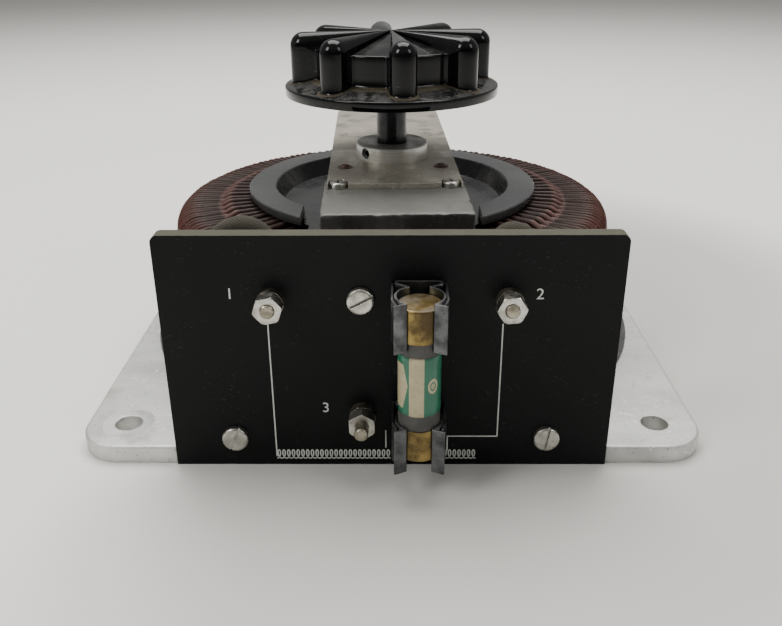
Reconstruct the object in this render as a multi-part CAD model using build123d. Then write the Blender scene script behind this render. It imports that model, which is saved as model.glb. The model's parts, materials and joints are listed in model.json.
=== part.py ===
from build123d import *
import math
import os

os.makedirs("parts", exist_ok=True)

# Bench variable autotransformer: a toroidal winding on a square base plate, a rotor arm that
# carries a carbon brush round the winding, and an upright terminal board with a fuse.
# Millimetres. The origin is on the rotor's axis at the underside of the base plate.
# +Z is up along the shaft and -Y is the side of the terminal board.

# ---- base plate and insulating disc ----
base_margin = 25.35
base_thick = 9.5
base_corner_r = 21.0
hole_edge = 21.75
mount_hole_r = 7.0
disc_margin = 17.8
disc_thick = 2.5

# ---- winding and core ----
coil_outer_r = 133.4
coil_inner_r = 74.5
coil_height = 80.3
wire_d = 4.0
wire_rise = 3.1
rise_inset = 27.4
rise_run = 6.0
coil_shoulder_r = 10.0
coil_gap_angle = 80.0
core_wrap_thick = 1.4
wrap_gap = 0.1

# ---- moulded cap and its washer ----
cap_lip = 13.7
cap_rim_thick = 3.8
cap_rim_inset = 2.7
cap_floor_inset = 7.5
cap_floor_depth = 10.5
cap_floor_thick = 3.4
cap_well_gap = 0.5
washer_thick = 1.8
washer_inset = 1.5
notch_width = 100.0

# ---- bearing post, bushes and shaft ----
shaft_r = 9.1
running_gap = 0.05
bush_wall = 3.4
bush_length = 20.0
bush_flange_r = 17.0
bush_flange_thick = 2.0
post_r = 24.0
post_flange_r = 42.0
post_flange_thick = 7.5
post_drop = 4.5
shaft_bore_r = 15.5
washer_plate_thick = 1.5
ring_thick = 1.2
ring_r = 12.5
axial_play = 0.15

# ---- screws and nuts ----
thread_gap = 0.05
hole_gap = 0.2
tie_r = 4.0
tie_circle_r = 33.5
post_screw_r = 3.0
post_screw_circle_r = 36.0
small_screw_r = 2.4
small_head_r = 3.6
small_head_thick = 2.6

# ---- rotor ----
arm_rest_angle = 1.9
arm_width = 75.0
arm_thick = 3.0
arm_clearance = 24.8
arm_front = 63.5
arm_tail = 25.0
arm_corner_r = 5.0
hub_r = 22.0
hub_above = 8.6
hub_below = 18.1
hub_flange_side = 70.0
hub_flange_thick = 4.0
slip_ring_r = 24.0
slip_ring_thick = 3.0
slip_ring_wide = 9.0
rivet_x = 28.2
rivet_y = 28.0
rivet_r = 2.4
rivet_dome_r = 2.7
rivet_dome_rise = 1.6
rivet_flange_r = 4.4
rivet_flange_thick = 0.4
weight_width = 79.0
weight_front = 108.0
weight_back = 44.0
weight_thick = 10.9
weight_screw_x = 31.3
weight_screw_y = 59.4
weight_screw_grip = 8.5
weight_notch_half = 5.5
pan_head_r = 4.9
pan_head_thick = 3.4
stop_circle_r = 52.0
stop_pin_r = 4.0
stop_post_r = 5.0
stop_post_height = 11.0
stop_overlap = 4.5
brush_travel = 135.0
stop_margin = 0.6

# ---- brush ----
track_inset = 19.9
brush_long = 9.0
brush_wide = 12.0
brush_tall = 14.6
brush_gap = 0.1
holder_wall = 8.0
holder_side_wall = 7.0
holder_lift = 5.7
holder_screw_depth = 2.0
holder_screw_length = 11.0
holder_screw_step = 8.2
spring_r = 3.1
spring_wire_r = 0.4
spring_turns = 4

# ---- knob ----
knob_angle = 7.5
knob_clearance = 38.4
skirt_r = 63.3
skirt_edge = 4.5
skirt_shoulder_r = 59.0
skirt_shoulder_rise = 3.2
knob_body_r = 45.0
knob_neck_rise = 11.2
knob_body_rise = 26.5
knob_crown_rise = 35.1
lobe_count = 8
lobe_r = 7.65
lobe_tip_r = 59.0
ridge_end_r = 10.0
ridge_tip_r = 1.6
knob_wall = 4.5
knob_boss_r = 18.0
knob_bore_depth = 29.0
grub_r = 3.2

# ---- terminal board ----
board_width = 213.7
board_height = 121.4
board_thick = 8.0
board_proud = 1.25
board_gap = 0.25
board_corner_r = 3.5
board_screw_low_x = 76.4
board_screw_low_z = 16.0
board_screw_high_x = -13.5
board_screw_high_z = 90.0
board_head_r = 6.5
board_head_thick = 3.2
bracket_thick = 3.0
bracket_width = 22.0
bracket_foot = 14.0
bracket_height = 24.0
support_left = 44.0
support_width = 18.0
support_arm_width = 40.0
support_arm_height = 20.0

# ---- terminals ----
terminal_x = 54.6
terminal_z = 90.0
wiper_terminal_x = -13.5
wiper_terminal_z = 29.5
stud_r = 3.3
stud_tail = 12.0
stud_proud = 1.2
wiper_stud_proud = 7.0
collar_r = 6.4
collar_thick = 5.0
lock_r = 6.2
lock_thick = 1.4
nut_width = 12.2
nut_thick = 6.0
jam_width = 11.0
jam_thick = 5.0
tail_nut_thick = 4.0
lug_thick = 1.5
lug_r = 6.6
lug_barrel_r = 4.4
lug_barrel_length = 2.5
lug_reach = 1.0

# ---- fuse and clips ----
fuse_x = 13.3
fuse_axis_out = 18.0
fuse_bottom = 20.8
fuse_length = 76.2
fuse_cap_r = 10.3
fuse_cap_length = 16.0
fuse_cap_wall = 0.6
fuse_tube_wall = 2.5
clip_width = 23.0
clip_leaf = 1.0
clip_gap = 0.05
clip_base_half = 10.5
clip_neck_half = 4.8
clip_lift = 4.6
clip_mouth_angle = 35.0
clip_lip_out = 4.9
clip_lip_forward = 2.4
stiffener_half = 12.2
stiffener_draw_in = 1.6
stiffener_bend = 1.0
stiffener_reach = 6.0
stiffener_width = 19.8
upper_clip_inset = 8.2
lower_clip_inset = 5.8

# ---- leads ----
lead_r = 5.5
strap_thick = 1.5
strap_width = 10.0
strap_x = 2.0
finger_thick = 0.8

# ---- levels and places worked out from the sizes above ----
disc_top = base_thick + disc_thick
coil_top = disc_top + coil_height
coil_crest = coil_top + wire_rise
coil_foot = disc_top + wire_rise
rise_start_r = coil_outer_r - rise_inset
rise_end_r = rise_start_r - rise_run
base_side = 2 * (coil_outer_r + base_margin)
hole_spacing = base_side - 2 * hole_edge
disc_r = coil_outer_r + disc_margin
wrap_outer_r = coil_outer_r - wire_d - wrap_gap
wrap_inner_r = coil_inner_r + 2 * wire_d + wrap_gap
wrap_bottom = coil_foot + wire_d + wrap_gap
wrap_top = coil_top - wire_d - wrap_gap
cap_r = coil_inner_r + cap_lip
cap_rim_inner_r = coil_inner_r - cap_rim_inset
cap_floor_r = coil_inner_r - cap_floor_inset
cap_seat = coil_crest + washer_thick
cap_top = cap_seat + cap_rim_thick
cap_floor = cap_top - cap_floor_depth
cap_under = cap_floor - cap_floor_thick
bush_r = shaft_r + running_gap + bush_wall
post_top = cap_floor - post_drop
bush_face = post_top + bush_flange_thick
brush_track_r = coil_outer_r - track_inset
arm_back = brush_track_r + arm_tail
arm_height = coil_top + arm_clearance
arm_bottom = arm_height - arm_thick
knob_height = arm_height + knob_clearance
hub_bottom = bush_face + washer_plate_thick + axial_play
slip_face = arm_bottom - hub_below - slip_ring_thick
hub_nose_r = slip_ring_r - slip_ring_wide
weight_bottom = arm_bottom - weight_thick
board_face = -(base_side / 2 + board_proud)
board_back = board_face + board_thick
board_slot = board_back + board_gap
fuse_y = board_face - fuse_axis_out
upper_clip_z = fuse_bottom + fuse_length - upper_clip_inset
lower_clip_z = fuse_bottom + lower_clip_inset
coil_start_angle = -90.0 + coil_gap_angle / 2
coil_arc = 360.0 - coil_gap_angle
lobe_centre_r = lobe_tip_r - lobe_r


def span_box(x0, x1, y0, y1, z0, z1):
    """A box between two values on each axis."""
    centre = Pos((x0 + x1) / 2, (y0 + y1) / 2, (z0 + z1) / 2)
    return centre * Box(abs(x1 - x0), abs(y1 - y0), abs(z1 - z0))


def rod(radius, z0, z1, x=0.0, y=0.0):
    """An upright cylinder between two heights."""
    return Pos(x, y, (z0 + z1) / 2) * Cylinder(radius, abs(z1 - z0))


def tube(outer, inner, z0, z1, x=0.0, y=0.0):
    """An upright tube between two heights."""
    return rod(outer, z0, z1, x, y) - rod(inner, z0 - 1, z1 + 1, x, y)


def rod_y(radius, y0, y1, x, z):
    """A cylinder along Y."""
    return Pos(x, (y0 + y1) / 2, z) * Rot(90, 0, 0) * Cylinder(radius, abs(y1 - y0))


def tube_y(outer, inner, y0, y1, x, z):
    """A tube along Y."""
    low, high = min(y0, y1), max(y0, y1)
    return rod_y(outer, low, high, x, z) - rod_y(inner, low - 1, high + 1, x, z)


def hex_prism(width, height):
    """A hexagonal prism about the origin, its size given across the flats."""
    return extrude(RegularPolygon(width / 2, 6, major_radius=False), height / 2, both=True)


def hex_nut(width, bore, z0, z1, x=0.0, y=0.0):
    """A hexagon nut with chamfered corners on an upright screw."""
    blank = hex_prism(width, z1 - z0) & chamfered_disc(width * 0.575, z1 - z0)
    return Pos(x, y, (z0 + z1) / 2) * (blank - Cylinder(bore, z1 - z0 + 2))


def chamfered_disc(radius, height):
    """A disc whose two rims are chamfered, used to turn the corners of a nut."""
    disc = Cylinder(radius, height)
    return chamfer(disc.edges(), min(radius, height) * 0.09)


def along_y(shape, x, y, z):
    """Lay a shape made about +Z over so that its top faces -Y, at a place on the board."""
    return Pos(x, y, z) * Rot(90, 0, 0) * shape


def turned(points, arc=360.0):
    """A body turned about Z from a closed outline of (radius, height) points."""
    return revolve(Plane.XZ * make_face(Polyline(points, close=True)), axis=Axis.Z, revolution_arc=arc)


def pan_screw(shank, length, head, head_thick):
    """A cross-recessed pan screw: head up from z = 0, shank down."""
    top = fillet(Cylinder(head, head_thick).edges().group_by(Axis.Z)[-1], head_thick * 0.42)
    screw = Pos(0, 0, head_thick / 2) * top + rod(shank, -length, 0.1)
    for turn in (0, 90):
        slot = Rot(0, 0, turn) * Box(head * 1.1, head * 0.24, head_thick)
        screw -= Pos(0, 0, head_thick) * slot
    return screw


def slotted_screw(shank, length, head, head_thick):
    """A slotted round-head screw: head up from z = 0, shank down."""
    top = fillet(Cylinder(head, head_thick).edges().group_by(Axis.Z)[-1], head_thick * 0.45)
    screw = Pos(0, 0, head_thick / 2) * top + rod(shank, -length, 0.1)
    return screw - Pos(0, 0, head_thick) * Box(head * 2.4, head * 0.2, head_thick)


def socket_grub(radius, length):
    """A socket grub screw along +Z from z = 0, its hexagon socket at the top."""
    body = rod(radius, 0, length)
    socket = Pos(0, 0, length) * hex_prism(radius * 1.1, length)
    return body - socket


def bent_strip(points, thick, radius, width):
    """A strip of sheet that follows points in plan and stands `width` tall about z = 0."""
    line = FilletPolyline(*points, radius=radius)
    face = make_face(offset(line, amount=thick / 2, side=Side.BOTH, kind=Kind.ARC))
    return extrude(face, width / 2, both=True)


def bend_radii(points, largest):
    """The largest arc that each corner's two runs leave room for, up to a limit."""
    places = [Vector(*point) for point in points]
    radii = []
    for before, corner, after in zip(places, places[1:], places[2:]):
        inward, outward = corner - before, after - corner
        half_turn = math.radians(inward.get_angle(outward)) / 2
        run = min(inward.length, outward.length)
        radii.append(min(largest, 0.45 * run / math.tan(half_turn)))
    return radii


def swept_tube(radius, points, largest):
    """A round tube along straight runs that are joined by tangent arcs."""
    radii = bend_radii(points, largest)
    path = FilletPolyline(*points, radius=radii)
    body = sweep(Plane(origin=path @ 0, z_dir=path % 0) * Circle(radius), path=path)
    expected = math.pi * radius ** 2 * path.length
    print("lead radii", [round(r, 1) for r in radii], "volume ratio", round(body.volume / expected, 4))
    return body


def rotor_turn(shape):
    """Turn a piece drawn with the arm along +Y to the arm's rest angle."""
    return Rot(0, 0, arm_rest_angle) * shape


def write(name, *solids):
    """Write one node; several like solids share it."""
    shape = solids[0] if len(solids) == 1 else Compound(children=list(solids))
    export_step(shape, "parts/" + name + ".step")


# ---------------------------------------------------------------- places of the fasteners
def polar(radius, angle):
    """Plan position of a point at a radius and an angle in degrees from +X."""
    return radius * math.cos(math.radians(angle)), radius * math.sin(math.radians(angle))


tie_places = [polar(tie_circle_r, 45 + 90 * i) for i in range(4)]
post_screw_places = [polar(post_screw_circle_r, 90 * i) for i in range(4)]
stop_reach = math.degrees(2 * math.asin((stop_pin_r + stop_post_r) / 2 / stop_circle_r))
stop_angle = 180.0 - brush_travel - stop_reach - stop_margin
stop_places = [polar(stop_circle_r, -90 + side * stop_angle) for side in (-1, 1)]
foot_screw_y = board_back + bracket_thick + 6.4
low_bracket_x = [board_screw_low_x * side for side in (-1, 1)]
low_foot_screws = [(x + step, foot_screw_y) for x in low_bracket_x for step in (-6.6, 6.6)]
support_x = -(support_left - support_width / 2)
high_foot_screws = [(support_x + step, foot_screw_y) for step in (-4.4, 4.4)]
main_terminals = [(-terminal_x, terminal_z), (terminal_x, terminal_z)]
wiper_terminal = (wiper_terminal_x, wiper_terminal_z)
all_terminals = main_terminals + [wiper_terminal]
clip_levels = [upper_clip_z, lower_clip_z]
foot_grip = 7.5


# ---------------------------------------------------------------- base
def make_base_plate():
    plate = span_box(-base_side / 2, base_side / 2, -base_side / 2,
                                             base_side / 2, 0, base_thick)
    plate = fillet(plate.edges().filter_by(Axis.Z), base_corner_r)
    plate = fillet(plate.faces().sort_by(Axis.Z)[-1].edges(), 1.2)
    half = hole_spacing / 2
    for x in (-half, half):
        for y in (-half, half):
            plate -= rod(mount_hole_r, -1, base_thick + 1, x, y)
    plate -= rod(shaft_bore_r, -1, base_thick + 1)
    for x, y in post_screw_places:
        plate -= rod(post_screw_r + hole_gap, -1, base_thick + 1, x, y)
        plate -= rod(post_screw_r * 1.8, -1, base_thick * 0.45, x, y)
    for x, y in low_foot_screws + high_foot_screws:
        plate -= rod(small_screw_r + thread_gap, base_thick - foot_grip, base_thick + 1, x, y)
    notch = board_width / 2 + board_gap
    return plate - span_box(-notch, notch, -base_side, board_slot, -1, base_thick + 1)


def make_base_insulator():
    disc = tube(disc_r, post_flange_r + 1.0, base_thick, disc_top)
    for x, y in high_foot_screws:
        disc -= rod(small_screw_r + hole_gap, base_thick - 1, disc_top + 1, x, y)
    return disc


write("base_plate", make_base_plate())
write("base_insulator", make_base_insulator())


# ---------------------------------------------------------------- bearing post
def make_bearing_post():
    post = rod(post_flange_r, base_thick, base_thick + post_flange_thick)
    post += rod(post_r, base_thick, post_top)
    shoulder = post.edges().filter_by(GeomType.CIRCLE)
    shoulder = shoulder.filter_by(lambda e: abs(e.radius - post_r) < 0.01
                                  and abs(e.center().Z - base_thick - post_flange_thick) < 0.01)
    post = fillet(shoulder, 3.0)
    post -= rod(bush_r, base_thick - 1, post_top + 1)
    for x, y in tie_places:
        post -= rod(tie_r + thread_gap, base_thick + 0.5, base_thick + post_flange_thick + 1, x, y)
    for x, y in post_screw_places:
        post -= rod(post_screw_r + thread_gap, base_thick - 1, base_thick + 6.5, x, y)
    return post


def make_upper_bush():
    bush = rod(bush_r, post_top - bush_length, post_top)
    bush += rod(bush_flange_r, post_top, bush_face)
    return bush - rod(shaft_r + running_gap, 0, bush_face + 1)


def make_post_screw(x, y):
    head_depth = base_thick * 0.45
    screw = rod(post_screw_r * 1.65, 0.4, head_depth, x, y)
    screw += rod(post_screw_r, head_depth - 0.1, base_thick + 6.0, x, y)
    return screw - Pos(x, y, 0.4) * hex_prism(post_screw_r * 1.6, head_depth)


ring_bottom = base_thick - axial_play - washer_plate_thick - ring_thick
write("bearing_post", make_bearing_post())
write("lower_bush", tube(bush_r, shaft_r + running_gap, base_thick, base_thick + bush_length))
write("upper_bush", make_upper_bush())
write("thrust_washer", tube(bush_flange_r, shaft_r + 0.3, bush_face, bush_face + washer_plate_thick))
write("post_screws", *[make_post_screw(x, y) for x, y in post_screw_places])


# ---------------------------------------------------------------- core and winding
def make_core():
    return tube(wrap_outer_r - core_wrap_thick - wrap_gap, wrap_inner_r + core_wrap_thick + wrap_gap,
                wrap_bottom + core_wrap_thick + wrap_gap, wrap_top - core_wrap_thick - wrap_gap)


def make_core_wrap():
    shell = tube(wrap_outer_r, wrap_inner_r, wrap_bottom, wrap_top)
    return shell - tube(wrap_outer_r - core_wrap_thick, wrap_inner_r + core_wrap_thick,
                        wrap_bottom + core_wrap_thick, wrap_top - core_wrap_thick)


def wound(face):
    """A section of the winding carried round the core, from one end of the wire to the other."""
    return Rot(0, 0, coil_start_angle) * revolve(Plane.XZ * face, axis=Axis.Z, revolution_arc=coil_arc)


def make_winding():
    face = make_face(Polyline(
        (coil_inner_r, disc_top), (rise_end_r, disc_top), (rise_start_r, coil_foot),
        (coil_outer_r, coil_foot), (coil_outer_r, coil_top), (coil_inner_r, coil_top), close=True))
    face = fillet([v for v in face.vertices() if v.X < coil_inner_r + 0.01 and v.Y < coil_foot], wire_d)
    face = fillet([v for v in face.vertices() if abs(v.X - coil_outer_r) < 0.01], coil_shoulder_r)
    face -= Pos((wrap_inner_r + wrap_outer_r) / 2, (wrap_bottom + wrap_top) / 2) * Rectangle(
        wrap_outer_r - wrap_inner_r + 2 * wrap_gap, wrap_top - wrap_bottom + 2 * wrap_gap)
    return wound(face)


def make_inner_turns():
    """The turns that ride up on their neighbours inside the brush track, where the winding crowds."""
    face = make_face(Polyline((coil_inner_r, coil_top), (rise_start_r, coil_top),
                              (rise_end_r, coil_crest), (coil_inner_r, coil_crest), close=True))
    crest = [v for v in face.vertices() if v.X < coil_inner_r + 0.01 and v.Y > coil_top + 0.01]
    return wound(fillet(crest, min(wire_d, wire_rise * 0.95)))


write("core", make_core())
write("core_wrap", make_core_wrap())
write("winding", make_winding())
write("winding_inner_turns", make_inner_turns())


# ---------------------------------------------------------------- moulded cap and clamping
def notch_cut(z0, z1, margin=0.0):
    half = notch_width / 2 + margin
    return span_box(-half, half, -cap_r - 5, 0, z0, z1)


def make_clamp_washer():
    ring = tube(cap_r - washer_inset, coil_inner_r, coil_crest, cap_seat)
    return ring - notch_cut(coil_crest - 1, cap_seat + 1)


def make_core_cap():
    """Floor and well of the cap, its rim with the notch, and a tongue through the notch."""
    well_r = coil_inner_r - cap_well_gap
    bore = bush_flange_r + 1.0
    bevel = 0.6
    floor = turned([(bore, cap_under), (well_r, cap_under), (well_r, cap_floor), (bore, cap_floor)])
    rim = turned([(cap_floor_r, cap_floor), (well_r, cap_floor), (well_r, cap_seat), (cap_r, cap_seat),
                  (cap_r, cap_top - bevel), (cap_r - bevel, cap_top), (cap_rim_inner_r + bevel, cap_top),
                  (cap_rim_inner_r, cap_top - bevel)])
    rim -= notch_cut(cap_floor - 1, cap_top + 1)
    half = min(notch_width / 2, coil_inner_r * math.sin(math.radians(coil_gap_angle / 2))) - 0.8
    tongue = tube(cap_r, well_r - 5.0, wrap_top, cap_floor)
    tongue &= span_box(-half, half, -cap_r, -well_r * 0.5, wrap_top - 1, cap_floor + 1)
    cap = floor + rim + tongue
    for x, y in tie_places:
        cap -= rod(tie_r + hole_gap, cap_under - 1, cap_floor + 1, x, y)
    return cap


nut_top = cap_floor + 1.2 + 5.0
write("clamp_washer", make_clamp_washer())
write("core_cap", make_core_cap())
write("tie_studs", *[rod(tie_r, base_thick + 0.6, nut_top + 1.5, x, y) for x, y in tie_places])
write("tie_washers", *[tube(7.5, tie_r + hole_gap, cap_floor, cap_floor + 1.2, x, y)
                       for x, y in tie_places])
write("tie_nuts", *[hex_nut(12.5, tie_r + thread_gap, cap_floor + 1.2, nut_top, x, y)
                    for x, y in tie_places])
write("stop_posts", *[rod(stop_post_r, cap_floor, cap_floor + stop_post_height, x, y)
                      for x, y in stop_places])


# ---------------------------------------------------------------- terminal board
def make_terminal_board():
    board = span_box(-board_width / 2, board_width / 2, board_face, board_back, 0, board_height)
    tops = [e for e in board.edges().filter_by(Axis.Y) if e.center().Z > board_height / 2]
    board = fillet(tops, board_corner_r)
    for x, z in all_terminals:
        board -= rod_y(stud_r + hole_gap, board_face - 1, board_back + 1, x, z)
    for x in low_bracket_x:
        board -= rod_y(small_screw_r + hole_gap, board_face - 1, board_back + 1, x, board_screw_low_z)
    board -= rod_y(small_screw_r + hole_gap, board_face - 1, board_back + 1,
                   board_screw_high_x, board_screw_high_z)
    for z in clip_levels:
        board -= rod_y(small_screw_r + hole_gap, board_face - 1, board_back + 1, fuse_x, z)
    return board


def make_low_bracket(x):
    left, right = x - bracket_width / 2, x + bracket_width / 2
    back = board_back + bracket_thick
    bracket = span_box(left, right, board_back, back, base_thick, base_thick + bracket_height)
    bracket += span_box(left, right, board_back, board_back + bracket_foot,
                        base_thick, base_thick + bracket_thick)
    bracket -= rod_y(small_screw_r + thread_gap, board_back - 1, back + 1, x, board_screw_low_z)
    for sx, sy in low_foot_screws:
        bracket -= rod(small_screw_r + hole_gap, 0, base_thick + bracket_thick + 1, sx, sy)
    return bracket


def make_board_support():
    left = -support_left
    back = board_back + bracket_thick
    top = board_screw_high_z + support_arm_height / 2
    support = span_box(left, left + support_width, board_back, back, disc_top, top)
    support += span_box(left, left + support_arm_width, board_back, back,
                        top - support_arm_height, top)
    support += span_box(left, left + support_width, board_back, board_back + bracket_foot,
                        disc_top, disc_top + bracket_thick)
    support -= rod_y(small_screw_r + thread_gap, board_back - 1, back + 1,
                     board_screw_high_x, board_screw_high_z)
    for sx, sy in high_foot_screws:
        support -= rod(small_screw_r + hole_gap, 0, disc_top + bracket_thick + 1, sx, sy)
    return support


def make_board_screw(x, z, turn):
    length = board_thick + bracket_thick + 1.0
    screw = slotted_screw(small_screw_r, length, board_head_r, board_head_thick)
    return along_y(Rot(0, 0, turn) * screw, x, board_face, z)


def make_foot_screw(x, y, seat):
    screw = pan_screw(small_screw_r, seat - base_thick + foot_grip - 0.5, small_head_r, small_head_thick)
    return Pos(x, y, seat) * screw


write("terminal_board", make_terminal_board())
write("board_brackets", *[make_low_bracket(x) for x in low_bracket_x])
write("board_support", make_board_support())
write("board_screws",
      make_board_screw(low_bracket_x[0], board_screw_low_z, 68),
      make_board_screw(low_bracket_x[1], board_screw_low_z, 80),
      make_board_screw(board_screw_high_x, board_screw_high_z, 28))
write("bracket_screws",
      *[make_foot_screw(x, y, base_thick + bracket_thick) for x, y in low_foot_screws],
      *[make_foot_screw(x, y, disc_top + bracket_thick) for x, y in high_foot_screws])


# ---------------------------------------------------------------- terminals
def make_stud(x, z, proud):
    front = board_face - collar_thick - lock_thick - nut_thick - proud
    stud = rod_y(stud_r, front, board_back + stud_tail, x, z)
    return chamfer(stud.edges().filter_by(GeomType.CIRCLE), 0.5)


def make_terminal_nut(x, z, turn):
    nut = Rot(0, 0, turn) * hex_nut(nut_width, stud_r + thread_gap, 0, nut_thick)
    return along_y(nut, x, board_face - collar_thick - lock_thick, z)


def make_back_nut(x, z, y, thick):
    return along_y(hex_nut(jam_width, stud_r + thread_gap, 0, thick), x, y + thick, z)


lock_face = board_face - collar_thick
lug_y = board_back + jam_thick
write("terminal_studs",
      *[make_stud(x, z, stud_proud) for x, z in main_terminals],
      make_stud(*wiper_terminal, wiper_stud_proud))
write("terminal_collars", *[tube_y(collar_r, stud_r + thread_gap, lock_face, board_face, x, z)
                            for x, z in all_terminals])
write("terminal_washers", *[tube_y(lock_r, stud_r + thread_gap, lock_face - lock_thick, lock_face, x, z)
                            for x, z in all_terminals])
write("terminal_nuts", *[make_terminal_nut(x, z, turn)
                         for (x, z), turn in zip(all_terminals, (12, 4, 30))])
write("jam_nuts", *[make_back_nut(x, z, board_back, jam_thick) for x, z in all_terminals])
write("tail_nuts", *[make_back_nut(x, z, lug_y + lug_thick, tail_nut_thick) for x, z in all_terminals])


# ---------------------------------------------------------------- leads behind the board
def make_lug(x, z, lean):
    """A ring lug whose barrel points up, leaning a few degrees sideways."""
    neck = lug_r + lug_reach
    lug = rod_y(lug_r, lug_y, lug_y + lug_thick, 0, 0)
    lug += span_box(-lug_barrel_r, lug_barrel_r, lug_y, lug_y + lug_thick, 0, neck)
    barrel_y = lug_y + lug_thick / 2
    lug += rod(lug_barrel_r, neck - 1, neck + lug_barrel_length, 0, barrel_y)
    lug -= rod_y(stud_r + thread_gap, lug_y - 9, lug_y + 9, 0, 0)
    return Pos(x, 0, z) * Rot(0, lean, 0) * lug


lead_y = lug_y + lug_thick / 2
lead_side = lead_y + 0.4
lug_length = lug_r + lug_reach + lug_barrel_length
left_crest = board_height - 1.7
right_crest = board_height - 5.3
lead_end_z = disc_top + 30.0


def lead_end(angle):
    """The last two points of a lead, which runs straight in to the winding's outer wall."""
    near = polar(coil_outer_r + 0.6, angle)
    far = polar(coil_outer_r + 19.0, angle)
    return (far[0], far[1], lead_end_z), (near[0], near[1], lead_end_z)


left_far, left_near = lead_end(228.0)
right_far, right_near = lead_end(-48.0)
def lug_lean(x, corner):
    """How far a lug leans so that its barrel points at the lead's first corner."""
    return math.degrees(math.atan2(corner[0] - x, corner[2] - terminal_z))


def lead_start(x, corner):
    """Where a lead meets the top of its lug's barrel."""
    lean = math.radians(lug_lean(x, corner))
    return x + lug_length * math.sin(lean), lead_side, terminal_z + lug_length * math.cos(lean)


left_arch = [(-terminal_x - 0.4, lead_side, left_crest - 7.2),
             (-terminal_x - 12.4, lead_side, left_crest),
             (-terminal_x - 26, lead_side + 1, left_crest - 6.5),
             (-terminal_x - 32.5, lead_side + 2, left_crest - 24),
             (-terminal_x - 34, lead_side + 4, 60.0), left_far, left_near]
right_arch = [(terminal_x - 5.6, lead_side, right_crest - 4.1),
              (terminal_x + 2.4, lead_side, right_crest + 1.1),
              (terminal_x + 11.9, lead_side, right_crest - 5.1),
              (terminal_x + 15, lead_side + 1, right_crest - 18),
              (terminal_x + 18, lead_side + 4, 60.0), right_far, right_near]
left_points = [lead_start(-terminal_x, left_arch[0])] + left_arch
right_points = [lead_start(terminal_x, right_arch[0])] + right_arch
write("terminal_lugs", make_lug(*main_terminals[0], lug_lean(-terminal_x, left_arch[0])),
      make_lug(*main_terminals[1], lug_lean(terminal_x, right_arch[0])))
write("lead_left", swept_tube(lead_r, left_points, 20.0))
write("lead_right", swept_tube(lead_r, right_points, 20.0))


def make_wiper_strap():
    """Flat bar from the wiper's terminal up behind the board and in to the collector."""
    left, right = strap_x - strap_width / 2, strap_x + strap_width / 2
    front, back = lug_y, lug_y + strap_thick
    strap = span_box(wiper_terminal_x, right, front, back,
                     wiper_terminal_z - lug_r, wiper_terminal_z + lug_r)
    strap += rod_y(lug_r, front, back, *wiper_terminal)
    strap += span_box(left, right, front, back, wiper_terminal_z - lug_r, strap_level + strap_thick)
    strap += span_box(left, right, front, collector_y + 5.0, strap_level, strap_level + strap_thick)
    strap -= rod_y(stud_r + thread_gap, front - 1, back + 1, *wiper_terminal)
    return strap - rod(small_screw_r + hole_gap, strap_level - 1, strap_level + 4, strap_x, collector_y)


collector_y = -38.0
finger_top = slip_face - brush_gap
spacer_top = finger_top - finger_thick
strap_level = finger_top
finger_tip = -(shaft_r + 6.5)
finger = span_box(strap_x - 4, strap_x + 4, collector_y - 5, finger_tip, spacer_top, finger_top)
finger -= rod(small_screw_r + hole_gap, spacer_top - 1, finger_top + 1, strap_x, collector_y)
spacer = span_box(strap_x - 7, strap_x + 7, collector_y - 6, collector_y + 6, cap_floor, spacer_top)
spacer -= rod(small_screw_r + thread_gap, cap_floor - 1, spacer_top + 1, strap_x, collector_y)
collector_screw = pan_screw(small_screw_r, strap_level + strap_thick - cap_floor - 0.2,
                            small_head_r, small_head_thick)
write("wiper_strap", make_wiper_strap())
write("collector_finger", finger)
write("collector_spacer", spacer)
write("collector_screw", Pos(strap_x, collector_y, strap_level + strap_thick) * collector_screw)


# ---------------------------------------------------------------- fuse and its clips
def clip_outline(side):
    """One side of the inner leaf in plan, from the middle of its base to the tip of its lip."""
    mid_r = fuse_cap_r + clip_gap + clip_leaf / 2
    base_y = board_face - clip_leaf * 1.5
    neck_y = fuse_y + math.sqrt(mid_r ** 2 - clip_neck_half ** 2)
    mouth = math.radians(clip_mouth_angle)
    end = (mid_r * math.sin(mouth) * side, fuse_y - mid_r * math.cos(mouth))
    lip = (end[0] + side * clip_lip_out, end[1] - clip_lip_forward)
    foot = FilletPolyline((0, base_y), (clip_base_half * side, base_y),
                          (clip_base_half * side, base_y - clip_lift * 0.6),
                          (clip_neck_half * side, neck_y), radius=[1.3, 1.2])
    cradle = ThreePointArc((clip_neck_half * side, neck_y), (mid_r * side, fuse_y), end)
    return Wire([*foot.edges(), *cradle.edges(), *Line(end, lip).edges()])


def thicken(wire, thick):
    return make_face(offset(wire, amount=thick / 2, side=Side.BOTH, kind=Kind.ARC))


def make_clip(z):
    face = Sketch() + thicken(clip_outline(-1), clip_leaf) + thicken(clip_outline(1), clip_leaf)
    clip = Pos(fuse_x, 0, z) * extrude(face, clip_width / 2, both=True)
    return clip - rod_y(small_screw_r + hole_gap, board_face - 9, board_face + 1, fuse_x, z)


def make_stiffener(z):
    base_y = board_face - clip_leaf / 2
    points = []
    for side in (-1, 1):
        branch = [(side * (stiffener_half - stiffener_draw_in), fuse_y - stiffener_reach),
                  (side * stiffener_half, fuse_y - stiffener_bend), (side * stiffener_half, base_y)]
        points += branch if side < 0 else branch[::-1]
    leaf = bent_strip(points, clip_leaf, [2.0, 1.0, 1.0, 2.0], stiffener_width)
    leaf = Pos(fuse_x, 0, z) * leaf
    return leaf - rod_y(small_screw_r + hole_gap, board_face - 9, board_face + 1, fuse_x, z)


def make_clip_screw(z):
    grip = 2 * clip_leaf + board_thick + 4.0
    screw = slotted_screw(small_screw_r, grip, small_head_r, 2.2)
    return along_y(screw, fuse_x, board_face - 2 * clip_leaf, z)


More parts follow.
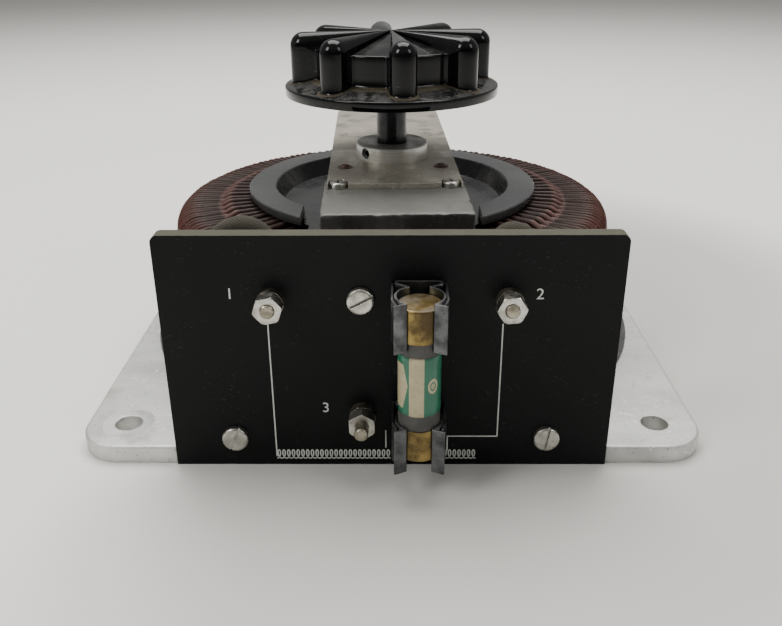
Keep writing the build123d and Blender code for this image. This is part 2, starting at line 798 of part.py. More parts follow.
fuse_top = fuse_bottom + fuse_length
fuse_ends = [(fuse_bottom, fuse_bottom + fuse_cap_length), (fuse_top - fuse_cap_length, fuse_top)]


def make_fuse_cap(z0, z1):
    closed_below = z0 == fuse_bottom
    cap = rod(fuse_cap_r, z0, z1, fuse_x, fuse_y)
    cap = fillet(cap.edges().group_by(Axis.Z)[0 if closed_below else -1], 0.9)
    inner = fuse_cap_r - fuse_cap_wall
    if closed_below:
        return cap - rod(inner, z0 + 1.2, z1 + 1, fuse_x, fuse_y)
    return cap - rod(inner, z0 - 1, z1 - 1.2, fuse_x, fuse_y)


tube_r = fuse_cap_r - fuse_cap_wall
write("fuse_clips", *[make_clip(z) for z in clip_levels])
write("clip_stiffeners", *[make_stiffener(z) for z in clip_levels])
write("clip_screws", *[make_clip_screw(z) for z in clip_levels])
write("clip_nuts", *[along_y(hex_nut(8.0, small_screw_r + thread_gap, 0, 3.0), fuse_x, board_back + 3.0, z)
                     for z in clip_levels])
write("fuse_tube", tube(tube_r, tube_r - fuse_tube_wall, fuse_bottom + 1.2, fuse_top - 1.2,
                        fuse_x, fuse_y))
write("fuse_caps", *[make_fuse_cap(z0, z1) for z0, z1 in fuse_ends])


# ---------------------------------------------------------------- rotor
def make_shaft():
    shaft = rod(shaft_r, ring_bottom - 2.0, knob_height + knob_bore_depth - 0.5)
    shaft = chamfer(shaft.edges().filter_by(GeomType.CIRCLE), 0.8)
    return shaft - tube(shaft_r + 1, shaft_r - 1.0, ring_bottom - 0.05, ring_bottom + ring_thick + 0.05)


def make_retaining_ring():
    ring = tube(ring_r, shaft_r - 0.9, ring_bottom, ring_bottom + ring_thick)
    return ring - span_box(-3.5, 3.5, -ring_r - 1, 0, ring_bottom - 1, ring_bottom + ring_thick + 1)


def make_arm_hub():
    bore = shaft_r + thread_gap
    hub = turned([(bore, hub_bottom), (hub_nose_r, hub_bottom), (hub_nose_r, slip_face + slip_ring_thick),
                  (hub_r, slip_face + slip_ring_thick), (hub_r, arm_height + hub_above),
                  (bore, arm_height + hub_above)])
    top = [e for e in hub.edges().filter_by(GeomType.CIRCLE)
           if abs(e.center().Z - arm_height - hub_above) < 0.01]
    hub = chamfer(top, 0.6)
    half = hub_flange_side / 2
    flange = span_box(-half, half, -half, half, arm_bottom - hub_flange_thick, arm_bottom)
    flange = fillet(flange.edges().filter_by(Axis.Z), 4.0)
    hub += flange - rod(bore, 0, knob_height)
    for x in (-rivet_x, rivet_x):
        hub -= rod(rivet_r + thread_gap, 0, knob_height, x, -rivet_y)
    return rotor_turn(hub) - grub_hole()


def grub_hole():
    return grub_frame() * rod(grub_r + thread_gap, 0, hub_r + 2)


def grub_frame():
    """Frame of the hub's grub screw: +Z points out along its hole."""
    level = arm_height + hub_above / 2 + 0.1
    return Pos(0, 0, level) * Rot(0, 0, 224.0) * Rot(0, 90, 0)


def weight_notch(x):
    notch = rod(weight_notch_half, 0, knob_height, x, -weight_screw_y)
    return notch + span_box(x - weight_notch_half, x + weight_notch_half, -arm_front - 1, -weight_screw_y,
                            0, knob_height)


def make_arm_plate():
    arm = span_box(-arm_width / 2, arm_width / 2, -arm_front, arm_back, arm_bottom, arm_height)
    ends = [e for e in arm.edges().filter_by(Axis.Z) if e.center().Y > 0]
    arm = fillet(ends, arm_corner_r)
    arm -= rod(hub_r + thread_gap, 0, knob_height)
    for side in (-1, 1):
        arm -= rod(rivet_r + thread_gap, 0, knob_height, side * rivet_x, -rivet_y)
        arm -= weight_notch(side * weight_screw_x)
    for x, y in holder_screw_places:
        arm -= rod(small_screw_r + thread_gap, 0, arm_bottom + holder_screw_depth, x, y)
    return arm - rod(stop_pin_r - 1.0 + thread_gap, 0, knob_height, 0, stop_circle_r)


def make_counterweight():
    weight = span_box(-weight_width / 2, weight_width / 2, -weight_front, -weight_back,
                      weight_bottom, arm_bottom)
    weight = chamfer(weight.edges().filter_by(Axis.Z), 0.8)
    for side in (-1, 1):
        weight -= rod(small_screw_r + thread_gap, weight_bottom + 1.5, knob_height,
                      side * weight_screw_x, -weight_screw_y)
    return weight


def make_rivet(x):
    dome = rod(rivet_dome_r, arm_height, arm_height + rivet_dome_rise, x, -rivet_y)
    dome = fillet(dome.edges().group_by(Axis.Z)[-1], rivet_dome_rise * 0.8)
    dome += rod(rivet_flange_r, arm_height, arm_height + rivet_flange_thick, x, -rivet_y)
    return dome + rod(rivet_r, arm_bottom - hub_flange_thick, arm_height + 0.1, x, -rivet_y)


def make_brush_holder():
    side = brush_wide / 2 + holder_side_wall
    near = brush_track_r - brush_long / 2 - holder_wall
    far = brush_track_r + brush_long / 2 + holder_wall
    holder = span_box(-side, side, near, far, coil_top + holder_lift, arm_bottom)
    holder = fillet(holder.edges().filter_by(Axis.Z), 2.0)
    pocket_x = brush_wide / 2 + brush_gap
    pocket_y = brush_long / 2 + brush_gap
    holder -= span_box(-pocket_x, pocket_x, brush_track_r - pocket_y, brush_track_r + pocket_y, 0, knob_height)
    for x, y in holder_screw_places:
        holder -= rod(small_screw_r + thread_gap, 0, knob_height, x, y)
    return holder


holder_screw_places = [(side * (brush_wide / 2 + holder_side_wall / 2 + 0.2), brush_track_r + step)
                       for side in (-1, 1) for step in (-holder_screw_step, holder_screw_step)]
holder_grub = Rot(180, 0, 0) * socket_grub(small_screw_r, holder_screw_length)
weight_pan = pan_screw(small_screw_r, weight_screw_grip, pan_head_r, pan_head_thick)
stop_pin = rod(stop_pin_r, cap_floor + stop_post_height - stop_overlap, arm_bottom, 0, stop_circle_r)
stop_pin += rod(stop_pin_r - 1.0, arm_bottom - 0.1, arm_height, 0, stop_circle_r)
hub_grub = Pos(0, 0, shaft_r + 0.1) * socket_grub(grub_r, hub_r - shaft_r - 1.6)

write("shaft", make_shaft())
write("retaining_ring", make_retaining_ring())
write("shaft_washer", tube(ring_r + 1.2, shaft_r + 0.2, ring_bottom + ring_thick,
                           ring_bottom + ring_thick + washer_plate_thick))
write("arm_hub", make_arm_hub())
write("slip_ring", tube(slip_ring_r, hub_nose_r, slip_face, slip_face + slip_ring_thick))
write("arm_plate", rotor_turn(make_arm_plate()))
write("arm_rivets", *[rotor_turn(make_rivet(side * rivet_x)) for side in (-1, 1)])
write("hub_grub_screw", grub_frame() * hub_grub)
write("counterweight", rotor_turn(make_counterweight()))
write("weight_screws", *[rotor_turn(Pos(side * weight_screw_x, -weight_screw_y, arm_bottom) * weight_pan)
                         for side in (-1, 1)])
write("stop_pin", rotor_turn(stop_pin))
write("brush_holder", rotor_turn(make_brush_holder()))
write("holder_screws", *[rotor_turn(Pos(x, y, arm_bottom + holder_screw_depth - 0.1) * holder_grub)
                         for x, y in holder_screw_places])


# ---------------------------------------------------------------- brush
def make_brush():
    half_x, half_y = brush_wide / 2, brush_long / 2
    bottom = coil_top + brush_gap
    brush = span_box(-half_x, half_x, brush_track_r - half_y, brush_track_r + half_y,
                     bottom, bottom + brush_tall)
    return chamfer(brush.faces().sort_by(Axis.Z)[0].edges(), 0.5)


def make_brush_spring():
    low = coil_top + brush_gap + brush_tall + spring_wire_r + 0.05
    high = arm_bottom - spring_wire_r - 0.05
    coil = Helix(pitch=(high - low) / spring_turns, height=high - low, radius=spring_r)
    wire = sweep(Plane(origin=coil @ 0, z_dir=coil % 0) * Circle(spring_wire_r), path=coil)
    return Pos(0, brush_track_r, low) * wire


write("brush", rotor_turn(make_brush()))
write("brush_spring", rotor_turn(make_brush_spring()))


# ---------------------------------------------------------------- knob
def make_lobe():
    """A round column on the skirt with a domed top and a ridge that tapers towards the middle."""
    foot = knob_height + skirt_edge + 1.0
    dome = knob_height + knob_crown_rise + 0.4 - lobe_r
    column = rod(lobe_r, foot, dome, lobe_centre_r, 0) + Pos(lobe_centre_r, 0, dome) * Sphere(lobe_r)
    run = lobe_centre_r - ridge_end_r
    drop = lobe_r - ridge_tip_r
    ridge = Pos(0, 0, math.hypot(run, drop) / 2) * Cone(lobe_r - 0.05, ridge_tip_r, math.hypot(run, drop))
    tilt = math.degrees(math.atan2(run, drop))
    return column + Pos(lobe_centre_r, 0, dome) * Rot(0, -tilt, 0) * ridge


def make_knob():
    base = knob_height
    knob = turned([(0, base), (skirt_r, base), (skirt_r, base + skirt_edge),
                   (skirt_shoulder_r, base + skirt_edge + skirt_shoulder_rise),
                   (knob_body_r, base + knob_neck_rise), (knob_body_r, base + knob_body_rise),
                   (0, base + knob_crown_rise - 0.6)])
    lobe = make_lobe()
    for i in range(lobe_count):
        knob += Rot(0, 0, knob_angle + 360.0 / lobe_count * i) * lobe
    hollow = turned([(knob_boss_r, base - 1), (skirt_r - 7.0, base - 1), (skirt_r - 7.0, base + 4.5),
                     (knob_body_r - knob_wall, base + knob_neck_rise - 3.0),
                     (knob_body_r - knob_wall, base + knob_body_rise - 5.0),
                     (knob_boss_r, base + knob_body_rise - 2.0)])
    knob -= hollow
    knob -= rod(shaft_r + thread_gap, base - 1, base + knob_bore_depth)
    return knob - knob_grub_frame() * rod(grub_r + thread_gap, 0, knob_boss_r + 60)


def knob_grub_frame():
    """Frame of the knob's grub screw, between two lobes at the back."""
    return Pos(0, 0, knob_height + knob_neck_rise + 6.0) * Rot(0, 0, 90 + knob_angle + 22.5) * Rot(0, 90, 0)


knob_grub = Pos(0, 0, shaft_r + 0.1) * socket_grub(grub_r, knob_boss_r - shaft_r - 1.0)
write("knob", make_knob())
write("knob_grub_screw", knob_grub_frame() * knob_grub)
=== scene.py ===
"""Looks of a bench variable autotransformer, laid round its CAD model. All sizes are in metres."""
import json
import math
import random

import bmesh
import bpy
from bpy.props import FloatProperty, FloatVectorProperty, IntProperty, PointerProperty
from mathutils import Matrix, Vector, noise


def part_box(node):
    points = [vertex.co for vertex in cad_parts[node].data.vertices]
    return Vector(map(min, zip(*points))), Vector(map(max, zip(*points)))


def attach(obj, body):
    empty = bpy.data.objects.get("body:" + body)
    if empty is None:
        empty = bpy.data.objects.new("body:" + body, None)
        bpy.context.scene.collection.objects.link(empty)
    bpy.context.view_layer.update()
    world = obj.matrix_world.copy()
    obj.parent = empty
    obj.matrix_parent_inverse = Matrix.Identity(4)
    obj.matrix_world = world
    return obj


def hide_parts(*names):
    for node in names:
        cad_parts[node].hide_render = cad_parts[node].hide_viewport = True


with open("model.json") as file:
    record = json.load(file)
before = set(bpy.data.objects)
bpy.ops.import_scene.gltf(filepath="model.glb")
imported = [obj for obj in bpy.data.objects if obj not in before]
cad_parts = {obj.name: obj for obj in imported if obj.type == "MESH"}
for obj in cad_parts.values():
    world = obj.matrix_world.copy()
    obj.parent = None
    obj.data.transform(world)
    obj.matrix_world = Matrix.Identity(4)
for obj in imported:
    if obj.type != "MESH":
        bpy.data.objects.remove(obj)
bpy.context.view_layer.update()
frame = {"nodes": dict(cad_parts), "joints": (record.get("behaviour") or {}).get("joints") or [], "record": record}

bl_info = {
    "name": "Variable autotransformer looks",
    "version": (1, 0, 0),
    "blender": (4, 5, 0),
    "location": "3D View > Sidebar > Autotransformer",
    "description": "Wire turns, knob, leads, markings and finishes round the autotransformer's CAD model",
    "category": "Object",
}

MM = 0.001

# ---------------------------------------------------------------- places read from the frame


def node_box(name):
    """Lowest and highest corner of a CAD node."""
    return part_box(name)


def joint_range(name):
    """The range of one of the model's joints, in radians or metres."""
    joint = next(j for j in frame["joints"] if j["name"] == name)
    limits = joint.get("range_deg")
    return [math.radians(v) for v in limits] if limits else list(joint["range_m"])


def turned_box(name, angle):
    """Lowest and highest corner of a node, measured along axes turned about Z by an angle."""
    turn = Matrix.Rotation(-angle, 3, "Z")
    points = [turn @ v.co for v in frame["nodes"][name].data.vertices]
    low = Vector([min(p[i] for p in points) for i in range(3)])
    high = Vector([max(p[i] for p in points) for i in range(3)])
    return low, high


def reach(name):
    """Largest distance of a node's points from the rotor's axis."""
    return max(math.hypot(v.co.x, v.co.y) for v in frame["nodes"][name].data.vertices)


def bore(name):
    """Smallest distance of a node's points from the rotor's axis."""
    return min(math.hypot(v.co.x, v.co.y) for v in frame["nodes"][name].data.vertices)


ARM_ANGLE = -sum(joint_range("rotor_turn")) / 2
WINDING_NODES = [n for n in frame["nodes"] if n.startswith("winding")]
BOARD_LOW = node_box("terminal_board")[0]
BOARD_FACE = BOARD_LOW.y
BASE_LOW = node_box("base_plate")[0]
COIL_START = math.radians(-50.0)
COIL_ARC = math.radians(280.0)


# ---------------------------------------------------------------- settings


class WindingSettings(bpy.types.PropertyGroup):
    """Sizes of the wire turns."""
    pitch: FloatProperty(name="Pitch", description="Angle from one turn to the next",
                         default=math.radians(2.16), subtype="ANGLE")
    wire: FloatProperty(name="Wire", description="Diameter of the enamelled wire",
                        default=4.0 * MM, unit="LENGTH")
    rise: FloatProperty(name="Rise", description="How far every second turn rides up near the bore",
                        default=3.0 * MM, unit="LENGTH")
    rise_start: FloatProperty(name="Rise start", description="Radius where the raised turns start to climb",
                              default=107.0 * MM, unit="LENGTH")
    rise_end: FloatProperty(name="Rise end", description="Radius where the raised turns are fully up",
                            default=100.5 * MM, unit="LENGTH")
    shoulder: FloatProperty(name="Shoulder", description="Radius of the outer corners of a turn",
                            default=12.0 * MM, unit="LENGTH")
    track_flat: FloatProperty(name="Track flat", description="Depth that the brush has worn off the wires",
                              default=0.3 * MM, unit="LENGTH")
    track_inner: FloatProperty(name="Track inner", description="Inner radius of the brush track",
                               default=107.5 * MM, unit="LENGTH")
    track_outer: FloatProperty(name="Track outer", description="Outer radius of the brush track",
                               default=119.5 * MM, unit="LENGTH")
    sway: FloatProperty(name="Sway", description="How far a hand-laid turn wanders sideways",
                        default=0.35 * MM, unit="LENGTH")
    sides: IntProperty(name="Sides", description="Points round the wire", default=10, min=6)
    seed: IntProperty(name="Seed", description="Seed of the turns' small differences", default=7)


class KnobSettings(bpy.types.PropertyGroup):
    """Sizes of the moulded knob."""
    lobes: IntProperty(name="Lobes", description="Finger lobes round the knob", default=8, min=3)
    angle: FloatProperty(name="Angle", description="Angle of the first lobe", default=math.radians(7.5),
                         subtype="ANGLE")
    lobe: FloatProperty(name="Lobe", description="Radius of a lobe", default=7.65 * MM, unit="LENGTH")
    lobe_centre: FloatProperty(name="Lobe centre", description="Distance of a lobe's axis from the middle",
                               default=51.35 * MM, unit="LENGTH")
    body: FloatProperty(name="Body", description="Radius of the body between the lobes",
                        default=45.0 * MM, unit="LENGTH")
    body_rise: FloatProperty(name="Body rise", description="Height of the body's rim over the foot",
                             default=26.5 * MM, unit="LENGTH")
    crown_rise: FloatProperty(name="Crown rise", description="Height of the roof's middle over the foot",
                              default=34.6 * MM, unit="LENGTH")
    neck_rise: FloatProperty(name="Neck rise", description="Height of the skirt's top at the body",
                             default=9.6 * MM, unit="LENGTH")
    edge: FloatProperty(name="Edge", description="Thickness of the skirt's rim", default=5.4 * MM,
                        unit="LENGTH")
    fillet: FloatProperty(name="Fillet", description="Radius at the foot of the lobes", default=2.2 * MM,
                          unit="LENGTH")
    wall: FloatProperty(name="Wall", description="Thickness of the moulding", default=4.5 * MM,
                        unit="LENGTH")
    boss: FloatProperty(name="Boss", description="Radius of the boss round the shaft", default=18.0 * MM,
                        unit="LENGTH")


class LeadSettings(bpy.types.PropertyGroup):
    """Sizes of the woven sleeves on the two winding leads."""
    sleeve: FloatProperty(name="Sleeve", description="Radius of the sleeve", default=5.4 * MM,
                          unit="LENGTH")
    strands: IntProperty(name="Strands", description="Strands laid each way round the sleeve",
                         default=10, min=4)
    lay: FloatProperty(name="Lay", description="Length of one full turn of a strand", default=26.0 * MM,
                       unit="LENGTH")
    relief: FloatProperty(name="Relief", description="Height of a strand over the sleeve",
                          default=0.22 * MM, unit="LENGTH")
    step: FloatProperty(name="Step", description="Spacing of the sleeve's rings", default=0.7 * MM,
                        unit="LENGTH")


class MarkingSettings(bpy.types.PropertyGroup):
    """Sizes of the white markings on the terminal board."""
    line: FloatProperty(name="Line", description="Width of a printed line", default=0.62 * MM,
                        unit="LENGTH")
    film: FloatProperty(name="Film", description="Thickness of the print", default=0.06 * MM,
                        unit="LENGTH")
    loop_pitch: FloatProperty(name="Loop pitch", description="Spacing of the loops of the winding sign",
                              default=2.36 * MM, unit="LENGTH")
    loop_rise: FloatProperty(name="Loop rise", description="Height of the loops", default=5.0 * MM,
                             unit="LENGTH")
    figure: FloatProperty(name="Figure", description="Height of a terminal's number", default=5.6 * MM,
                          unit="LENGTH")
    white: FloatVectorProperty(name="White", description="Colour of the print", subtype="COLOR", size=3,
                               default=(0.62, 0.63, 0.60), min=0.0, max=1.0)


class WrapSettings(bpy.types.PropertyGroup):
    """Sizes and colours of the printed wrap on the fuse."""
    low: FloatProperty(name="Low", description="Height of the wrap's lower edge", default=44.4 * MM,
                       unit="LENGTH")
    high: FloatProperty(name="High", description="Height of the wrap's upper edge", default=74.4 * MM,
                        unit="LENGTH")
    paper: FloatProperty(name="Paper", description="Thickness of the wrap", default=0.16 * MM,
                         unit="LENGTH")
    green: FloatVectorProperty(name="Green", description="Colour of the wrap", subtype="COLOR", size=3,
                               default=(0.012, 0.155, 0.082), min=0.0, max=1.0)
    cream: FloatVectorProperty(name="Cream", description="Colour of the wrap's stripe and patches",
                               subtype="COLOR", size=3, default=(0.50, 0.44, 0.27), min=0.0, max=1.0)


class StageSettings(bpy.types.PropertyGroup):
    """Camera, floor and light."""
    eye: FloatVectorProperty(name="Eye", description="Place of the camera", subtype="TRANSLATION", size=3,
                             default=(0.003657, -0.506769, 0.245484), unit="LENGTH")
    pitch: FloatProperty(name="Pitch", description="How far the camera looks down",
                         default=math.radians(24.019), subtype="ANGLE")
    yaw: FloatProperty(name="Yaw", description="How far the camera looks to the right",
                       default=math.radians(-0.522), subtype="ANGLE")
    roll: FloatProperty(name="Roll", description="How far the camera leans to the left",
                        default=math.radians(-0.289), subtype="ANGLE")
    lens: FloatProperty(name="Lens", description="Focal length, in millimetres", default=38.283)
    drop: FloatProperty(name="Drop", description="Downward shift of the picture", default=-0.01877)
    floor_side: FloatProperty(name="Floor side", description="Side of the square floor", default=30.0,
                              unit="LENGTH")
    # Floor colour: the floor nearest the object, darker than the painted light round it, so painted shade there.
    floor_colour: FloatVectorProperty(name="Floor colour", description="Colour of the floor",
                                      subtype="COLOR", size=3, default=(0.60, 0.595, 0.57), min=0.0, max=1.0)
    # Painted light: the floor's lighter zone is a painted pool of light.
    floor_painted_light: FloatVectorProperty(name="Floor glow", description="Colour of the floor's lighter zone",
                                    subtype="COLOR", size=3, default=(0.90, 0.895, 0.86), min=0.0, max=1.0)
    # Painted shade: the darker far floor is a painted fall-off of light.
    floor_far_painted_shade: FloatVectorProperty(name="Far floor", description="Colour of the floor far away",
                                   subtype="COLOR", size=3, default=(0.42, 0.40, 0.38), min=0.0, max=1.0)
    sky: FloatVectorProperty(name="Sky", description="Colour of the light from all round", subtype="COLOR",
                             size=3, default=(0.80, 0.80, 0.79), min=0.0, max=1.0)
    sky_strength: FloatProperty(name="Sky strength", description="Strength of the light from all round",
                                default=0.42)


SETTINGS = {
    "variac_winding": WindingSettings,
    "variac_knob": KnobSettings,
    "variac_leads": LeadSettings,
    "variac_markings": MarkingSettings,
    "variac_wrap": WrapSettings,
    "variac_stage": StageSettings,
}


# ---------------------------------------------------------------- node building


def add(tree, kind, inputs=(), **settings):
    """A shader node, with its settings, plain input values and incoming links."""
    made = tree.nodes.new("ShaderNode" + kind)
    for name, value in settings.items():
        setattr(made, name, value)
    for key, value in dict(inputs).items():
        if isinstance(value, bpy.types.NodeSocket):
            tree.links.new(value, made.inputs[key])
        else:
            made.inputs[key].default_value = value
    return made


def maths(tree, operation, a, b=0.0, c=0.0):
    """One Math node's result."""
    return add(tree, "Math", {0: a, 1: b, 2: c}, operation=operation).outputs[0]


def times(tree, a, b):
    """Two values multiplied."""
    return maths(tree, "MULTIPLY", a, b)


def larger(tree, a, b):
    """The larger of two values."""
    return maths(tree, "MAXIMUM", a, b)


def span(tree, value, low, high, out_low=0.0, out_high=1.0):
    """A value carried smoothly from one range to another and held at its ends."""
    inputs = {0: value, 1: low, 2: high, 3: out_low, 4: out_high}
    return add(tree, "MapRange", inputs, interpolation_type="SMOOTHSTEP").outputs[0]


def between(tree, value, low, high, soft):
    """A mask of one where a value lies between two limits."""
    up = span(tree, value, low - soft, low + soft)
    down = span(tree, value, high - soft, high + soft, 1.0, 0.0)
    return times(tree, up, down)


def mixed(tree, factor, a, b, blend="MIX"):
    """Two colours mixed."""
    made = add(tree, "Mix", data_type="RGBA", blend_type=blend)
    for key, value in ((0, factor), (6, a), (7, b)):
        if isinstance(value, bpy.types.NodeSocket):
            tree.links.new(value, made.inputs[key])
        else:
            made.inputs[key].default_value = value if key == 0 else (*value[:3], 1.0)
    return made.outputs[2]


def ramp(tree, value, stops):
    """A colour read from a row of (place, colour) stops."""
    made = add(tree, "ValToRGB", {0: value})
    bar = made.color_ramp
    bar.elements[0].position, bar.elements[1].position = stops[0][0], stops[-1][0]
    bar.elements[0].color, bar.elements[1].color = (*stops[0][1], 1.0), (*stops[-1][1], 1.0)
    for place, colour in stops[1:-1]:
        bar.elements.new(place).color = (*colour, 1.0)
    return made.outputs[0]


def noise_at(tree, vector, scale, detail=3.0, rough=0.55):
    """The value of a noise texture."""
    inputs = {"Vector": vector, "Scale": scale, "Detail": detail, "Roughness": rough}
    return add(tree, "TexNoise", inputs).outputs[0]


def place(tree):
    """The point on the object, in metres."""
    return add(tree, "TexCoord").outputs["Object"]


def radius_of(tree, vector, x=0.0, y=0.0):
    """Distance of a point from an upright axis."""
    flat = add(tree, "VectorMath", {0: vector, 1: (x, y, 0.0)}, operation="SUBTRACT").outputs[0]
    flat = add(tree, "VectorMath", {0: flat, 1: (1.0, 1.0, 0.0)}, operation="MULTIPLY").outputs[0]
    return add(tree, "VectorMath", {0: flat}, operation="LENGTH").outputs["Value"]


def new_group(name, inputs, outputs):
    """An empty node group with named sockets, and its two end nodes."""
    group = bpy.data.node_groups.new(name, "ShaderNodeTree")
    for label, kind, value in inputs:
        socket = group.interface.new_socket(name=label, in_out="INPUT", socket_type="NodeSocket" + kind)
        socket.default_value = value
    for label, kind in outputs:
        group.interface.new_socket(name=label, in_out="OUTPUT", socket_type="NodeSocket" + kind)
    start = group.nodes.new("NodeGroupInput").outputs
    end = group.nodes.new("NodeGroupOutput").inputs
    return group, start, end


def use(tree, name, **values):
    """A shared group placed in a material with its own values."""
    made = tree.nodes.new("ShaderNodeGroup")
    made.node_tree = bpy.data.node_groups[name]
    for key, value in values.items():
        socket = made.inputs[key.replace("_", " ")]
        if isinstance(value, bpy.types.NodeSocket):
            tree.links.new(value, socket)
        else:
            socket.default_value = value
    return made.outputs


# ---------------------------------------------------------------- shared effects


def make_blotches():
    """Soft clouds of light and dark, for stains and uneven tone."""
    group, start, end = new_group(
        "Blotches",
        [("Scale", "Float", 40.0), ("Stretch", "Vector", (1.0, 1.0, 1.0)), ("Low", "Float", 0.35),
         ("High", "Float", 0.65)],
        [("Value", "Float")])
    point = add(group, "VectorMath", {0: place(group), 1: start["Stretch"]}, operation="MULTIPLY").outputs[0]
    cloud = noise_at(group, point, start["Scale"], 5.0, 0.6)
    value = add(group, "MapRange", {0: cloud, 1: start["Low"], 2: start["High"]},
                interpolation_type="SMOOTHSTEP").outputs[0]
    group.links.new(value, end["Value"])


def make_cast_skin():
    """The grainy skin of a casting, with pits."""
    group, start, end = new_group(
        "Cast skin",
        [("Grain", "Float", 900.0), ("Pit scale", "Float", 260.0), ("Pits", "Float", 0.5)],
        [("Height", "Float"), ("Pit mask", "Float")])
    point = place(group)
    grain = noise_at(group, point, start["Grain"], 4.0, 0.65)
    cell = add(group, "TexVoronoi", {"Vector": point, "Scale": start["Pit scale"]}).outputs["Distance"]
    patch = noise_at(group, point, 70.0, 2.0)
    size = times(group, times(group, patch, start["Pits"]), 0.55)
    pit = add(group, "MapRange", {0: cell, 1: size, 2: 0.0}).outputs[0]
    height = maths(group, "SUBTRACT", times(group, grain, 0.5), pit)
    group.links.new(height, end["Height"])
    group.links.new(pit, end["Pit mask"])


def make_scratches():
    """Fine scratches that run several ways and come and go."""
    group, start, end = new_group(
        "Scratches",
        [("Scale", "Float", 14.0), ("Amount", "Float", 0.5)],
        [("Mask", "Float")])
    point = place(group)
    total = None
    for angle, axis in ((0.4, (0.2, 0.3, 1.0)), (1.5, (0.5, 0.1, 1.0)), (2.45, (0.1, 0.6, 1.0))):
        turned = add(group, "VectorRotate", {"Vector": point, "Axis": axis, "Angle": angle}).outputs[0]
        drawn = add(group, "VectorMath", {0: turned, 1: (1.0, 55.0, 55.0)}, operation="MULTIPLY").outputs[0]
        line = noise_at(group, drawn, start["Scale"], 1.0, 0.4)
        line = add(group, "MapRange", {0: line, 1: 0.70, 2: 0.76}).outputs[0]
        total = line if total is None else larger(group, total, line)
    broken = span(group, noise_at(group, point, 60.0, 2.0), 0.45, 0.62)
    mask = times(group, times(group, total, broken), start["Amount"])
    group.links.new(mask, end["Mask"])


def make_edge_wear():
    """Rounded, rubbed edges: a softened normal and a broken mask along every edge."""
    group, start, end = new_group(
        "Edge wear",
        [("Radius", "Float", 0.0006), ("Amount", "Float", 0.6), ("Break scale", "Float", 350.0)],
        [("Mask", "Float"), ("Normal", "Vector")])
    soft = add(group, "Bevel", {"Radius": start["Radius"]}, samples=4).outputs[0]
    true = add(group, "NewGeometry").outputs["Normal"]
    facing = add(group, "VectorMath", {0: soft, 1: true}, operation="DOT_PRODUCT").outputs["Value"]
    edge = add(group, "MapRange", {0: facing, 1: 0.995, 2: 0.86}).outputs[0]
    broken = span(group, noise_at(group, place(group), start["Break scale"], 3.0), 0.36, 0.62)
    mask = times(group, times(group, edge, broken), start["Amount"])
    group.links.new(mask, end["Mask"])
    group.links.new(soft, end["Normal"])


def make_dust():
    """Dust that settles on surfaces that face up."""
    group, start, end = new_group(
        "Dust",
        [("Amount", "Float", 0.5), ("Scale", "Float", 60.0), ("Facing", "Float", 0.6)],
        [("Mask", "Float")])
    up = add(group, "SeparateXYZ", {0: add(group, "NewGeometry").outputs["Normal"]}).outputs["Z"]
    top = add(group, "MapRange", {0: up, 1: start["Facing"], 2: 1.0}).outputs[0]
    point = place(group)
    cloud = span(group, noise_at(group, point, start["Scale"], 5.0, 0.65), 0.36, 0.66)
    speck = span(group, noise_at(group, point, 1500.0, 2.0), 0.55, 0.72)
    layer = maths(group, "MULTIPLY_ADD", speck, 0.35, cloud)
    mask = times(group, times(group, top, layer), start["Amount"])
    group.links.new(add(group, "Clamp", {0: mask}).outputs[0], end["Mask"])


def make_drawn_grain():
    """Fine parallel lines left by rolling or drawing."""
    group, start, end = new_group(
        "Drawn grain",
        [("Scale", "Float", 60.0), ("Stretch", "Vector", (40.0, 1.0, 40.0))],
        [("Value", "Float")])
    point = add(group, "VectorMath", {0: place(group), 1: start["Stretch"]}, operation="MULTIPLY").outputs[0]
    group.links.new(noise_at(group, point, start["Scale"], 3.0, 0.6), end["Value"])


def make_lathe_rings():
    """Fine rings left by turning about the upright axis."""
    group, start, end = new_group(
        "Lathe rings",
        [("Scale", "Float", 2500.0)],
        [("Value", "Float")])
    point = place(group)
    height = add(group, "SeparateXYZ", {0: point}).outputs["Z"]
    ring = add(group, "CombineXYZ", {0: radius_of(group, point), 1: 0.0, 2: height}).outputs[0]
    group.links.new(noise_at(group, ring, start["Scale"], 2.0, 0.6), end["Value"])


def make_braid():
    """Two sets of strands that cross round a sleeve, from its length and turn coordinates."""
    group, start, end = new_group(
        "Braid",
        [("Around", "Float", 0.0), ("Along", "Float", 0.0), ("Strands", "Float", 10.0)],
        [("Height", "Float"), ("Thread", "Float")])
    turn = times(group, start["Around"], 2 * math.pi)
    run = times(group, start["Along"], 2 * math.pi)
    right = times(group, maths(group, "ADD", turn, run), start["Strands"])
    left = times(group, maths(group, "SUBTRACT", turn, run), start["Strands"])
    cross = times(group, maths(group, "SINE", right), maths(group, "SINE", left))
    fine_right = maths(group, "ABSOLUTE", maths(group, "SINE", times(group, right, 3.0)))
    fine_left = maths(group, "ABSOLUTE", maths(group, "SINE", times(group, left, 3.0)))
    over = span(group, cross, -0.2, 0.2)
    thread = maths(group, "ADD", times(group, fine_right, over),
                   times(group, fine_left, maths(group, "SUBTRACT", 1.0, over)))
    group.links.new(maths(group, "ABSOLUTE", cross), end["Height"])
    group.links.new(thread, end["Thread"])


def clouds(tree, scale, low=0.35, high=0.65, stretch=(1.0, 1.0, 1.0)):
    """A mask of soft clouds."""
    return use(tree, "Blotches", Scale=scale, Low=low, High=high, Stretch=stretch)["Value"]


def scratches(tree, scale, amount):
    """A mask of fine scratches."""
    return use(tree, "Scratches", Scale=scale, Amount=amount)["Mask"]


def settled_dust(tree, amount, scale=60.0, facing=0.6):
    """A mask of settled dust."""
    return use(tree, "Dust", Amount=amount, Scale=scale, Facing=facing)["Mask"]


def stained(tree, tone, mask, amount, colour):
    """A tone with a colour laid over it through part of a mask."""
    return mixed(tree, times(tree, mask, amount), tone, colour)


